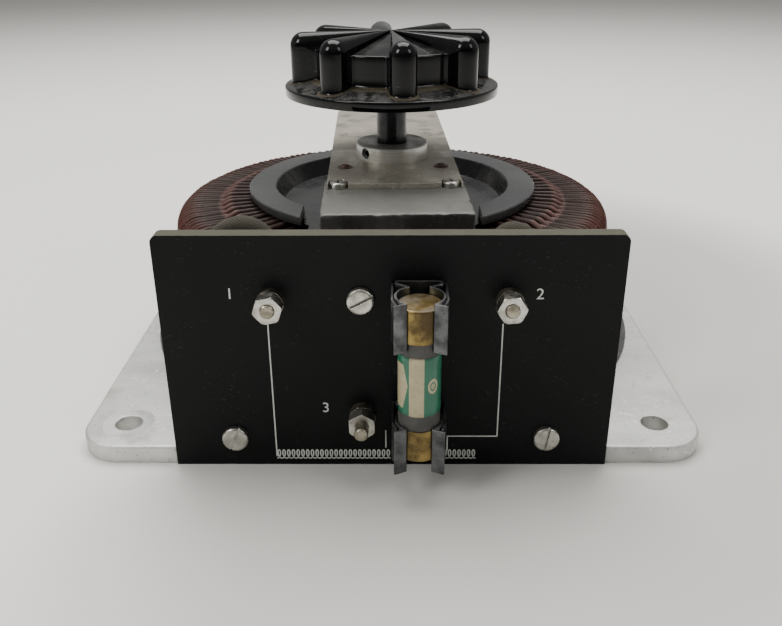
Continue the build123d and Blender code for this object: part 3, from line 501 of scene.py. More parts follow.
SHARED_EFFECTS = (make_blotches, make_cast_skin, make_scratches, make_edge_wear, make_dust,
                  make_drawn_grain, make_lathe_rings, make_braid)


# ---------------------------------------------------------------- finishes


AGED = "aged_"
TAPE_TURNS = 46
TURNS_PER_RADIAN = 53.05
LAMINATE_LAYER = 1.1 * MM
HOLE_INSET = 21.75 * MM
POLISHED = (7.0 * MM, 13.3 * MM)
WIRE_ZONE = (70.0 * MM, 136.0 * MM)
TRACK_ZONE = (108.0 * MM, 118.0 * MM)
TOP_ZONE = (91.5 * MM, 99.0 * MM)


def new_finish(name, metallic=0.0, coat=0.0, specular=0.5):
    """An empty material: its node tree and its Principled shader."""
    material = bpy.data.materials.new(AGED + name)
    material.use_nodes = True
    tree = material.node_tree
    shader = next(n for n in tree.nodes if n.type == "BSDF_PRINCIPLED")
    shader.inputs["Metallic"].default_value = metallic
    shader.inputs["Coat Weight"].default_value = coat
    shader.inputs["Specular IOR Level"].default_value = specular
    return material, tree, shader


def finish_off(tree, shader, colour, rough, height, bump=0.3, distance=0.0002, normal=None):
    """Joins colour, roughness and relief to a shader."""
    inputs = {"Strength": bump, "Distance": distance, "Height": height}
    if normal is not None:
        inputs["Normal"] = normal
    relief = add(tree, "Bump", inputs)
    tree.links.new(colour, shader.inputs["Base Color"])
    tree.links.new(rough, shader.inputs["Roughness"])
    tree.links.new(relief.outputs[0], shader.inputs["Normal"])


def worn_metal(name, light, dark, grime, rough=(0.3, 0.55), metallic=1.0, scale=90.0, wear=0.5,
               edge=0.0004, scratch=0.4, dust=0.2, grain=1200.0, bump=0.15):
    """A small metal part: uneven tone, scratches, rubbed edges, grime and a little dust."""
    material, tree, shader = new_finish(name, metallic)
    cloud = clouds(tree, scale)
    spots = clouds(tree, scale * 4, 0.58, 0.70)
    worn = use(tree, "Edge wear", Radius=edge, Amount=wear)
    marks = scratches(tree, 20.0, scratch)
    settled = settled_dust(tree, dust)
    skin = use(tree, "Cast skin", Grain=grain, Pits=0.15)
    tone = mixed(tree, cloud, dark, light)
    tone = mixed(tree, times(tree, spots, 0.6), tone, grime)
    tone = mixed(tree, larger(tree, worn["Mask"], times(tree, marks, 0.5)), tone,
                 [min(1.0, c * 1.35) for c in light])
    tone = mixed(tree, settled, tone, (0.30, 0.29, 0.26))
    gloss = span(tree, cloud, 0.0, 1.0, rough[1], rough[0])
    gloss = maths(tree, "MULTIPLY_ADD", settled, 0.35, gloss)
    relief = maths(tree, "SUBTRACT", skin["Height"], marks)
    finish_off(tree, shader, tone, gloss, relief, bump, normal=worn["Normal"])
    return material


def cast_aluminium():
    """Pale cast plate, pitted, scratched and stained, with a polished ring round one mounting hole."""
    material, tree, shader = new_finish("cast_aluminium", metallic=1.0)
    point = place(tree)
    cloud = clouds(tree, 22.0, 0.3, 0.72)
    stain = clouds(tree, 55.0, 0.56, 0.74)
    streak = clouds(tree, 9.0, 0.4, 0.7, stretch=(1.0, 6.0, 1.0))
    skin = use(tree, "Cast skin", Grain=700.0, Pit_scale=330.0, Pits=0.62)
    marks = scratches(tree, 11.0, 1.0)
    worn = use(tree, "Edge wear", Radius=0.0012, Amount=0.9, Break_scale=160.0)
    tone = mixed(tree, cloud, (0.50, 0.50, 0.485), (0.70, 0.70, 0.68))
    tone = stained(tree, tone, streak, 0.35, (0.80, 0.80, 0.78))
    tone = stained(tree, tone, stain, 0.55, (0.36, 0.35, 0.32))
    tone = stained(tree, tone, skin["Pit mask"], 0.85, (0.14, 0.135, 0.125))
    tone = mixed(tree, larger(tree, marks, worn["Mask"]), tone, (0.90, 0.90, 0.88))
    hole = (BASE_LOW.x + HOLE_INSET, BASE_LOW.y + HOLE_INSET)
    from_hole = radius_of(tree, point, *hole)
    ring = between(tree, from_hole, *POLISHED, 0.5 * MM)
    tone = stained(tree, tone, ring, 0.7, (0.86, 0.86, 0.84))
    gloss = span(tree, cloud, 0.0, 1.0, 0.62, 0.46)
    gloss = maths(tree, "MULTIPLY_ADD", skin["Pit mask"], 0.25, gloss)
    gloss = maths(tree, "MULTIPLY_ADD", ring, -0.18, gloss)
    relief = maths(tree, "MULTIPLY_ADD", marks, -0.6, skin["Height"])
    finish_off(tree, shader, tone, gloss, relief, 0.55, 0.00035, worn["Normal"])
    return material


def rolled_aluminium():
    """Sheet for the arm: satin, with rolled grain, smears and cloudy reflections."""
    material, tree, shader = new_finish("rolled_aluminium", metallic=0.7)
    grain = use(tree, "Drawn grain", Scale=30.0, Stretch=(38.0, 1.0, 38.0))["Value"]
    cloud = clouds(tree, 38.0, 0.36, 0.66)
    smear = clouds(tree, 75.0, 0.5, 0.68)
    speck = clouds(tree, 420.0, 0.64, 0.72)
    marks = scratches(tree, 16.0, 0.8)
    worn = use(tree, "Edge wear", Radius=0.0005, Amount=0.7)
    settled = settled_dust(tree, 0.25, 45.0)
    tone = mixed(tree, cloud, (0.37, 0.34, 0.28), (0.53, 0.50, 0.42))
    tone = stained(tree, tone, grain, 0.16, (0.66, 0.63, 0.56))
    tone = stained(tree, tone, smear, 0.4, (0.26, 0.24, 0.19))
    tone = stained(tree, tone, speck, 0.6, (0.12, 0.10, 0.075))
    tone = mixed(tree, larger(tree, marks, worn["Mask"]), tone, (0.88, 0.87, 0.84))
    tone = mixed(tree, settled, tone, (0.44, 0.42, 0.36))
    gloss = maths(tree, "MULTIPLY_ADD", smear, -0.14, span(tree, cloud, 0.0, 1.0, 0.44, 0.32))
    gloss = maths(tree, "MULTIPLY_ADD", settled, 0.3, gloss)
    relief = maths(tree, "MULTIPLY_ADD", marks, -1.0, grain)
    finish_off(tree, shader, tone, gloss, relief, 0.12, 0.0001, worn["Normal"])
    return material


def turned_aluminium():
    """Collar turned on a lathe: bright wall, dirty top face."""
    material, tree, shader = new_finish("turned_aluminium", metallic=0.55)
    rings = use(tree, "Lathe rings", Scale=1800.0)["Value"]
    cloud = clouds(tree, 85.0, 0.34, 0.66)
    settled = settled_dust(tree, 0.85, 110.0, 0.7)
    worn = use(tree, "Edge wear", Radius=0.0005, Amount=0.8)
    tone = mixed(tree, rings, (0.46, 0.455, 0.43), (0.78, 0.775, 0.75))
    tone = stained(tree, tone, cloud, 0.4, (0.44, 0.42, 0.37))
    tone = stained(tree, tone, settled, 0.6, (0.40, 0.38, 0.33))
    tone = mixed(tree, worn["Mask"], tone, (0.90, 0.89, 0.87))
    gloss = maths(tree, "MULTIPLY_ADD", settled, 0.35, span(tree, rings, 0.3, 0.7, 0.40, 0.26))
    finish_off(tree, shader, tone, gloss, rings, 0.10, 0.00008, worn["Normal"])
    return material


def insulating_board():
    """Dark grey fibre board with a faint mottle."""
    material, tree, shader = new_finish("insulating_board")
    cloud = clouds(tree, 120.0)
    fibre = use(tree, "Drawn grain", Scale=90.0, Stretch=(8.0, 1.0, 8.0))["Value"]
    settled = settled_dust(tree, 0.45, 50.0)
    worn = use(tree, "Edge wear", Radius=0.0004, Amount=0.5)
    tone = mixed(tree, cloud, (0.030, 0.032, 0.034), (0.060, 0.062, 0.062))
    tone = stained(tree, tone, fibre, 0.3, (0.085, 0.085, 0.080))
    tone = mixed(tree, worn["Mask"], tone, (0.16, 0.155, 0.14))
    tone = mixed(tree, settled, tone, (0.17, 0.16, 0.14))
    gloss = maths(tree, "MULTIPLY_ADD", settled, 0.3, span(tree, fibre, 0.3, 0.7, 0.42, 0.58))
    finish_off(tree, shader, tone, gloss, fibre, 0.2, 0.0001, worn["Normal"])
    return material


def core_tape():
    """Varnished tape wound round the core, its turns lying across the section."""
    material, tree, shader = new_finish("core_tape", coat=0.15)
    parts = add(tree, "SeparateXYZ", {0: place(tree)}).outputs
    turn = maths(tree, "ARCTAN2", parts["Y"], parts["X"])
    lap = maths(tree, "FRACT", times(tree, turn, TAPE_TURNS / (2 * math.pi)))
    weave = use(tree, "Drawn grain", Scale=260.0, Stretch=(1.0, 1.0, 4.0))["Value"]
    cloud = clouds(tree, 60.0)
    tone = mixed(tree, cloud, (0.050, 0.024, 0.018), (0.115, 0.055, 0.038))
    tone = mixed(tree, span(tree, lap, 0.0, 0.12, 0.6, 0.0), tone, (0.018, 0.010, 0.008))
    gloss = span(tree, weave, 0.3, 0.7, 0.38, 0.6)
    relief = maths(tree, "MULTIPLY_ADD", lap, 0.8, weave)
    finish_off(tree, shader, tone, gloss, relief, 0.4, 0.0002)
    return material


def enamelled_wire():
    """Red-brown enamel, darkened by carbon and rubbed bare along the brush track, with a painted highlight on the
    inner ridge and painted shade in the track's valley and between the turns.
    """
    material, tree, shader = new_finish("enamelled_wire", specular=0.12)
    point = place(tree)
    parts = add(tree, "SeparateXYZ", {0: point}).outputs
    radius = radius_of(tree, point)
    wander = noise_at(tree, point, 45.0, 3.0)
    shifted = maths(tree, "MULTIPLY_ADD", wander, 0.004, maths(tree, "SUBTRACT", radius, 0.002))
    low, high = WIRE_ZONE
    spot = add(tree, "MapRange", {0: shifted, 1: low, 2: high}).outputs[0]

    def at(value):
        return (value - low) / (high - low)

    # Tone by distance from the axis: darker towards the bore; the light salmon band at 101.5 to 105.5 mm is a
    # painted highlight on the crest of the raised turns; the dark band at 108.5 to 116.5 mm is the carbon-darkened
    # brush track together with painted shade in the valley between the ridges; the red rising to the outer rim is
    # the enamel's own colour, partly a painted highlight on the shoulder.
    tone = ramp(tree, spot, [
        (at(0.090), (0.018, 0.010, 0.009)),
        (at(0.0985), (0.034, 0.019, 0.017)),
        (at(0.1015), (0.150, 0.084, 0.076)),
        (at(0.1055), (0.125, 0.068, 0.062)),
        (at(0.1085), (0.024, 0.017, 0.015)),
        (at(0.1165), (0.028, 0.018, 0.016)),
        (at(0.1205), (0.042, 0.020, 0.017)),
        (at(0.1270), (0.076, 0.030, 0.024)),
        (at(0.1335), (0.080, 0.021, 0.015)),
    ])
    crest = add(tree, "SeparateXYZ", {0: add(tree, "UVMap", uv_map="wire").outputs[0]}).outputs["Y"]
    step = maths(tree, "FLOOR", times(tree, maths(tree, "ARCTAN2", parts["Y"], parts["X"]), TURNS_PER_RADIAN))
    each = add(tree, "TexWhiteNoise", {"W": step}, noise_dimensions="1D").outputs["Value"]
    cloud = clouds(tree, 34.0, 0.34, 0.68)
    fine = clouds(tree, 300.0, 0.4, 0.7)
    tone = stained(tree, tone, each, 0.35, (0.014, 0.008, 0.007))
    tone = stained(tree, tone, cloud, 0.30, (0.045, 0.018, 0.015))
    # Painted shade: the sides and inner face of every wire are painted near black, the shade between the turns.
    shade_between_turns = span(tree, crest, 0.35, 0.95, 0.9, 0.0)
    tone = mixed(tree, shade_between_turns, tone, (0.005, 0.003, 0.003))
    on_top = between(tree, parts["Z"], *TOP_ZONE, 0.5 * MM)
    track = times(tree, between(tree, shifted, *TRACK_ZONE, 1.2 * MM), on_top)
    bare = times(tree, track, span(tree, crest, 0.93, 1.0))
    tone = stained(tree, tone, bare, 0.4, (0.075, 0.055, 0.047))
    tone = stained(tree, tone, fine, 0.10, (0.13, 0.10, 0.09))
    settled = settled_dust(tree, 0.16, 28.0)
    tone = mixed(tree, settled, tone, (0.13, 0.105, 0.09))
    gloss = maths(tree, "MULTIPLY_ADD", track, 0.16, span(tree, cloud, 0.0, 1.0, 0.34, 0.44))
    finish_off(tree, shader, tone, gloss, fine, 0.12, 0.0001)
    return material


def moulded_black():
    """Glossy dark moulding for the cap, greyed by fine scratches and dust."""
    material, tree, shader = new_finish("moulded_black", coat=0.25, specular=0.5)
    cloud = clouds(tree, 24.0, 0.3, 0.7)
    smear = clouds(tree, 60.0, 0.45, 0.75, stretch=(1.0, 2.5, 1.0))
    marks = scratches(tree, 13.0, 0.8)
    worn = use(tree, "Edge wear", Radius=0.0009, Amount=0.45)
    settled = settled_dust(tree, 0.26, 26.0, 0.5)
    tone = mixed(tree, cloud, (0.022, 0.024, 0.025), (0.034, 0.036, 0.036))
    tone = mixed(tree, larger(tree, worn["Mask"], marks), tone, (0.15, 0.15, 0.145))
    tone = mixed(tree, settled, tone, (0.085, 0.085, 0.080))
    gloss = maths(tree, "MULTIPLY_ADD", smear, 0.10, span(tree, cloud, 0.0, 1.0, 0.20, 0.30))
    gloss = maths(tree, "MULTIPLY_ADD", settled, 0.32, gloss)
    shader.inputs["Coat Roughness"].default_value = 0.18
    relief = maths(tree, "SUBTRACT", cloud, marks)
    finish_off(tree, shader, tone, gloss, relief, 0.05, 0.0001, worn["Normal"])
    return material


def knob_black():
    """Gloss black moulding, with grey dust on its tops and a brown line at the foot of the lobes."""
    material, tree, shader = new_finish("knob_black", coat=0.3, specular=0.12)
    shader.inputs["Coat Roughness"].default_value = 0.05
    run = add(tree, "SeparateXYZ", {0: add(tree, "UVMap", uv_map="profile").outputs[0]}).outputs["Y"]
    cloud = clouds(tree, 40.0, 0.35, 0.7)
    patch = clouds(tree, 75.0, 0.44, 0.6)
    fleck = clouds(tree, 500.0, 0.5, 0.62)
    marks = scratches(tree, 18.0, 0.55)
    tops = settled_dust(tree, 0.8, 55.0, 0.72)
    skirt = between(tree, run, SKIRT_RUN[0], SKIRT_RUN[1], 0.004)
    foot = between(tree, run, FOOT_RUN[0], FOOT_RUN[1], 0.006)
    broken = maths(tree, "MULTIPLY_ADD", fleck, 0.4, times(tree, patch, 0.65))
    film = times(tree, skirt, broken)
    grey = larger(tree, film, times(tree, tops, 0.45))
    tone = mixed(tree, cloud, (0.0018, 0.0020, 0.0024), (0.0035, 0.0036, 0.0040))
    tone = stained(tree, tone, grey, 0.75, (0.092, 0.091, 0.086))
    tone = stained(tree, tone, foot, 0.55, (0.105, 0.085, 0.055))
    tone = stained(tree, tone, marks, 0.6, (0.09, 0.09, 0.09))
    gloss = maths(tree, "MULTIPLY_ADD", grey, 0.45, span(tree, cloud, 0.0, 1.0, 0.08, 0.14))
    gloss = maths(tree, "MULTIPLY_ADD", foot, 0.35, gloss)
    coat = maths(tree, "SUBTRACT", 0.3, times(tree, larger(tree, grey, foot), 0.29))
    tree.links.new(coat, shader.inputs["Coat Weight"])
    finish_off(tree, shader, tone, gloss, fleck, 0.03, 0.0001)
    return material


def board_laminate():
    """Black laminate: satin face with fine scratches, sawn tan edges."""
    material, tree, shader = new_finish("board_laminate", specular=0.14)
    facing = add(tree, "SeparateXYZ", {0: add(tree, "NewGeometry").outputs["Normal"]}).outputs["Y"]
    edge = span(tree, maths(tree, "ABSOLUTE", facing), 0.5, 0.8, 1.0, 0.0)
    parts = add(tree, "SeparateXYZ", {0: place(tree)}).outputs
    layers = maths(tree, "SINE", times(tree, parts["Y"], 2 * math.pi / LAMINATE_LAYER))
    cloud = clouds(tree, 16.0, 0.3, 0.7)
    saw = use(tree, "Drawn grain", Scale=90.0, Stretch=(1.0, 6.0, 6.0))["Value"]
    marks = scratches(tree, 15.0, 1.0)
    fleck = clouds(tree, 420.0, 0.74, 0.80)
    worn = use(tree, "Edge wear", Radius=0.0004, Amount=0.55, Break_scale=220.0)
    face = mixed(tree, cloud, (0.0022, 0.0028, 0.0030), (0.0042, 0.0050, 0.0053))
    face = stained(tree, face, marks, 0.35, (0.05, 0.05, 0.05))
    face = stained(tree, face, fleck, 0.6, (0.10, 0.10, 0.095))
    sawn = mixed(tree, saw, (0.070, 0.067, 0.051), (0.130, 0.124, 0.098))
    sawn = mixed(tree, span(tree, layers, -0.4, 0.6, 0.25, 0.0), sawn, (0.035, 0.032, 0.025))
    tone = mixed(tree, edge, face, sawn)
    tone = mixed(tree, worn["Mask"], tone, (0.24, 0.22, 0.17))
    gloss = maths(tree, "MULTIPLY_ADD", edge, 0.35, span(tree, cloud, 0.0, 1.0, 0.36, 0.48))
    relief = maths(tree, "SUBTRACT", saw, marks)
    finish_off(tree, shader, tone, gloss, relief, 0.06, 0.0001, worn["Normal"])
    return material


def cotton_sleeve():
    """Khaki woven sleeving, with painted shade in the gaps between the strands."""
    material, tree, shader = new_finish("cotton_sleeve", specular=0.2)
    shader.inputs["Sheen Weight"].default_value = 0.08
    uv = add(tree, "SeparateXYZ", {0: add(tree, "UVMap", uv_map="sleeve").outputs[0]}).outputs
    weave = use(tree, "Braid", Around=uv["X"], Along=uv["Y"], Strands=10.0)
    cloud = clouds(tree, 110.0, 0.35, 0.7)
    fuzz = clouds(tree, 1400.0, 0.3, 0.7)
    tone = mixed(tree, cloud, (0.024, 0.021, 0.015), (0.044, 0.039, 0.028))
    tone = stained(tree, tone, weave["Thread"], 0.55, (0.094, 0.086, 0.064))
    # Painted shade: where the strands part, the gaps are painted near black.
    tone = mixed(tree, span(tree, weave["Height"], 0.0, 0.35, 0.85, 0.0), tone, (0.008, 0.007, 0.005))
    tone = stained(tree, tone, fuzz, 0.2, (0.10, 0.092, 0.070))
    gloss = span(tree, fuzz, 0.0, 1.0, 0.78, 0.95)
    relief = maths(tree, "MULTIPLY_ADD", weave["Thread"], 0.5, weave["Height"])
    finish_off(tree, shader, tone, gloss, relief, 0.6, 0.0003)
    return material


def lead_alloy():
    """Dull grey weight casting: smooth stained top, dark rough faces, nicked edges."""
    material, tree, shader = new_finish("lead_alloy", metallic=0.35)
    up = add(tree, "SeparateXYZ", {0: add(tree, "NewGeometry").outputs["Normal"]}).outputs["Z"]
    top = span(tree, up, 0.4, 0.9)
    cloud = clouds(tree, 32.0, 0.32, 0.68)
    spot = clouds(tree, 170.0, 0.60, 0.68)
    drip = clouds(tree, 60.0, 0.4, 0.65, stretch=(1.0, 1.0, 0.3))
    skin = use(tree, "Cast skin", Grain=650.0, Pit_scale=420.0, Pits=0.5)
    marks = scratches(tree, 17.0, 0.9)
    worn = use(tree, "Edge wear", Radius=0.0009, Amount=1.0, Break_scale=300.0)
    pale = mixed(tree, cloud, (0.112, 0.112, 0.102), (0.165, 0.165, 0.150))
    pale = stained(tree, pale, spot, 0.5, (0.08, 0.08, 0.075))
    dark = mixed(tree, drip, (0.036, 0.036, 0.035), (0.075, 0.075, 0.072))
    tone = mixed(tree, top, dark, pale)
    tone = stained(tree, tone, skin["Pit mask"], 0.5, (0.03, 0.03, 0.03))
    tone = mixed(tree, larger(tree, worn["Mask"], times(tree, marks, 0.25)), tone,
                 (0.30, 0.30, 0.285))
    gloss = span(tree, cloud, 0.0, 1.0, 0.62, 0.48)
    finish_off(tree, shader, tone, gloss, skin["Height"], 0.35, 0.0003, worn["Normal"])
    return material


def fuse_fibre():
    """Dark grey fibre tube."""
    material, tree, shader = new_finish("fuse_fibre")
    cloud = clouds(tree, 140.0, 0.3, 0.7)
    fibre = use(tree, "Drawn grain", Scale=120.0, Stretch=(1.0, 1.0, 9.0))["Value"]
    settled = settled_dust(tree, 0.3, 90.0, 0.2)
    tone = mixed(tree, cloud, (0.030, 0.030, 0.028), (0.062, 0.060, 0.055))
    tone = stained(tree, tone, fibre, 0.3, (0.10, 0.095, 0.085))
    tone = mixed(tree, settled, tone, (0.16, 0.15, 0.13))
    finish_off(tree, shader, tone, span(tree, fibre, 0.3, 0.7, 0.45, 0.6), fibre, 0.2, 0.0001)
    return material


def fuse_print():
    """Green printed wrap with a plain cream stripe, a pointed patch and a small oval."""
    material, tree, shader = new_finish("fuse_print", coat=0.3)
    settings = bpy.context.scene.variac_wrap
    uv = add(tree, "SeparateXYZ", {0: add(tree, "UVMap", uv_map="wrap").outputs[0]}).outputs
    across, up = uv["X"], uv["Y"]
    stripe = between(tree, across, 0.419, 0.531, 0.0015)
    slope = maths(tree, "ABSOLUTE", maths(tree, "SUBTRACT", up, 0.51))
    reach_out = maths(tree, "MULTIPLY_ADD", slope, -0.117, 0.408)
    patch = times(tree, between(tree, across, 0.255, 0.5, 0.002),
                  span(tree, maths(tree, "SUBTRACT", reach_out, across), -0.002, 0.002))
    patch = times(tree, patch, between(tree, up, 0.11, 0.855, 0.006))
    oval_x = maths(tree, "DIVIDE", maths(tree, "SUBTRACT", across, 0.603), 0.044)
    oval_y = maths(tree, "DIVIDE", maths(tree, "SUBTRACT", up, 0.51), 0.124)
    far = maths(tree, "SQRT", maths(tree, "ADD", maths(tree, "POWER", maths(tree, "ABSOLUTE", oval_x), 2.0),
                                    maths(tree, "POWER", maths(tree, "ABSOLUTE", oval_y), 2.0)))
    oval = between(tree, far, 0.62, 1.0, 0.05)
    bar = times(tree, between(tree, far, -1.0, 0.42, 0.05), 0.8)
    pale = larger(tree, larger(tree, stripe, patch), larger(tree, oval, bar))
    cloud = clouds(tree, 150.0, 0.3, 0.75)
    foxing = clouds(tree, 600.0, 0.55, 0.7)
    green = mixed(tree, times(tree, cloud, 0.4), settings.green, (0.008, 0.075, 0.042))
    cream = mixed(tree, times(tree, cloud, 0.5), settings.cream, (0.33, 0.28, 0.16))
    tone = mixed(tree, pale, green, cream)
    tone = stained(tree, tone, foxing, 0.25, (0.05, 0.05, 0.035))
    rim = larger(tree, span(tree, up, 0.0, 0.03, 1.0, 0.0), span(tree, up, 0.97, 1.0))
    tone = stained(tree, tone, rim, 0.7, (0.05, 0.05, 0.045))
    finish_off(tree, shader, tone, span(tree, cloud, 0.0, 1.0, 0.32, 0.46), foxing, 0.05, 0.0001)
    return material


def marking_white():
    """White print, slightly worn."""
    material, tree, shader = new_finish("marking_white")
    white = bpy.context.scene.variac_markings.white
    cloud = clouds(tree, 260.0, 0.30, 0.62)
    gap = clouds(tree, 900.0, 0.66, 0.74)
    tone = mixed(tree, cloud, [c * 0.82 for c in white], white)
    tone = stained(tree, tone, gap, 0.6, (0.05, 0.05, 0.05))
    finish_off(tree, shader, tone, span(tree, cloud, 0.0, 1.0, 0.5, 0.65), gap, 0.05, 0.00005)
    return material


def metal(name, light, dark, grime, **values):
    """A builder for one of the small metal finishes."""
    return lambda: worn_metal(name, light, dark, grime, **values)


FINISHES = {
    "cast_aluminium": cast_aluminium,
    "rolled_aluminium": rolled_aluminium,
    "turned_aluminium": turned_aluminium,
    "insulating_board": insulating_board,
    "core_tape": core_tape,
    "enamelled_wire": enamelled_wire,
    "moulded_black": moulded_black,
    "knob_black": knob_black,
    "board_laminate": board_laminate,
    "cotton_sleeve": cotton_sleeve,
    "lead_alloy": lead_alloy,
    "fuse_fibre": fuse_fibre,
    "fuse_print": fuse_print,
    "marking_white": marking_white,
    "core_steel": metal("core_steel", (0.30, 0.31, 0.32), (0.20, 0.21, 0.22), (0.07, 0.06, 0.05)),
    "bright_steel": metal("bright_steel", (0.56, 0.545, 0.50), (0.36, 0.35, 0.31), (0.12, 0.10, 0.07),
                          rough=(0.26, 0.46), scale=160.0, wear=0.8),
    "dark_steel": metal("dark_steel", (0.15, 0.155, 0.16), (0.060, 0.062, 0.065), (0.03, 0.027, 0.022),
                        rough=(0.34, 0.52), scale=110.0, wear=0.55, scratch=0.6, dust=0.35),
    "bracket_steel": metal("bracket_steel", (0.52, 0.52, 0.49), (0.36, 0.36, 0.34), (0.16, 0.14, 0.10)),
    "bearing_bronze": metal("bearing_bronze", (0.50, 0.34, 0.19), (0.30, 0.20, 0.11), (0.10, 0.07, 0.04)),
    "terminal_brass": metal("terminal_brass", (0.38, 0.35, 0.275), (0.20, 0.18, 0.14), (0.07, 0.06, 0.04),
                            rough=(0.28, 0.5), scale=170.0, wear=0.8),
    "fuse_brass": metal("fuse_brass", (0.34, 0.245, 0.085), (0.10, 0.072, 0.038), (0.055, 0.052, 0.046),
                        rough=(0.30, 0.52), scale=95.0, wear=0.45, scratch=0.6, dust=0.5),
    "bar_copper": metal("bar_copper", (0.55, 0.32, 0.21), (0.32, 0.17, 0.10), (0.10, 0.07, 0.05)),
    "red_lacquer": metal("red_lacquer", (0.085, 0.022, 0.016), (0.035, 0.012, 0.009), (0.02, 0.012, 0.009),
                         rough=(0.30, 0.5), metallic=0.0, scale=260.0, wear=0.2),
    "blackened_steel": metal("blackened_steel", (0.013, 0.014, 0.018), (0.006, 0.0065, 0.009),
                             (0.03, 0.028, 0.025), rough=(0.22, 0.36), metallic=0.3, wear=0.15, scratch=0.3,
                             dust=0.1),
    "carbon": metal("carbon", (0.055, 0.055, 0.055), (0.025, 0.025, 0.026), (0.015, 0.015, 0.015),
                    rough=(0.45, 0.7), metallic=0.0, grain=2000.0),
    "spring_steel": metal("spring_steel", (0.50, 0.50, 0.49), (0.34, 0.34, 0.33), (0.12, 0.10, 0.08)),
}


def finish(name):
    """A finish's material, made when it is first asked for."""
    return bpy.data.materials.get(AGED + name) or FINISHES[name]()


# ---------------------------------------------------------------- mesh building


def new_piece(name, points, faces, body, material, sharp=None, uv=None, uv_name="map"):
    """A mesh piece that rides on a body, with its finish, slot and optional UV map."""
    mesh = bpy.data.meshes.new(name)
    mesh.from_pydata([tuple(p) for p in points], [], faces)
    mesh.validate()
    mesh.polygons.foreach_set("use_smooth", [True] * len(mesh.polygons))
    if uv is not None:
        layer = mesh.uv_layers.new(name=uv_name)
        for loop, spot in zip(layer.data, uv):
            loop.uv = spot
    if sharp is not None:
        mesh.set_sharp_from_angle(angle=sharp)
    mesh.update()
    piece = bpy.data.objects.new(name, mesh)
    bpy.context.scene.collection.objects.link(piece)
    mesh.materials.append(finish(material))
    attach(piece, body)
    return piece


def rounded(corners, steps=5):
    """A closed flat outline of (a, b, radius) corners, each turned by an arc."""
    outline = []
    count = len(corners)
    for i, (a, b, radius) in enumerate(corners):
        here = Vector((a, b))
        before = (Vector(corners[i - 1][:2]) - here).normalized()
        after = (Vector(corners[(i + 1) % count][:2]) - here).normalized()
        half = before.angle(after) / 2
        if radius <= 0.0 or half > math.radians(89.5):
            outline.append(here)
            continue
        cut = radius / math.tan(half)
        centre = here + (before + after).normalized() * (radius / math.sin(half))
        first, last = here + before * cut - centre, here + after * cut - centre
        sweep = first.angle_signed(last)
        for k in range(steps + 1):
            outline.append(centre + Matrix.Rotation(-sweep * k / steps, 2) @ first)
    return outline


# ---------------------------------------------------------------- winding

TURN_LEAN = 0.0011
TURN_LIFT = 0.12 * MM
TURN_SPLAY = 0.6 * MM
CROWDED_FROM = 112.0 * MM
CROWDED_RUN = 20.0 * MM
SPLAY_FROM = 110.0 * MM
SPLAY_RUN = 30.0 * MM
ROUND_OFF = 1e-6


def turn_outline(settings, raised):
    """Centre line of one turn as (radius, height) points, anticlockwise from the inner foot."""
    low, high = node_box("winding")
    half = settings.wire / 2
    outer = reach("winding") - half
    inner = bore("winding") + half + (0.0 if raised else settings.wire)
    top = high.z - half
    bottom = low.z + settings.rise + half
    step = settings.rise if raised else 0.0
    ease = settings.wire
    corners = [
        (inner, bottom - step, ease), (settings.rise_end, bottom - step, ease if raised else 0.0),
        (settings.rise_start, bottom, ease if raised else 0.0),
        (outer, bottom, settings.shoulder - half), (outer, top, settings.shoulder - half),
        (settings.track_outer, top, 0.0), (settings.track_inner, top, 0.0),
        (settings.rise_start - settings.wire / 8, top, ease if raised else 0.0),
        (settings.rise_end, top + step, ease if raised else 0.0), (inner, top + step, ease)]
    return rounded(corners)


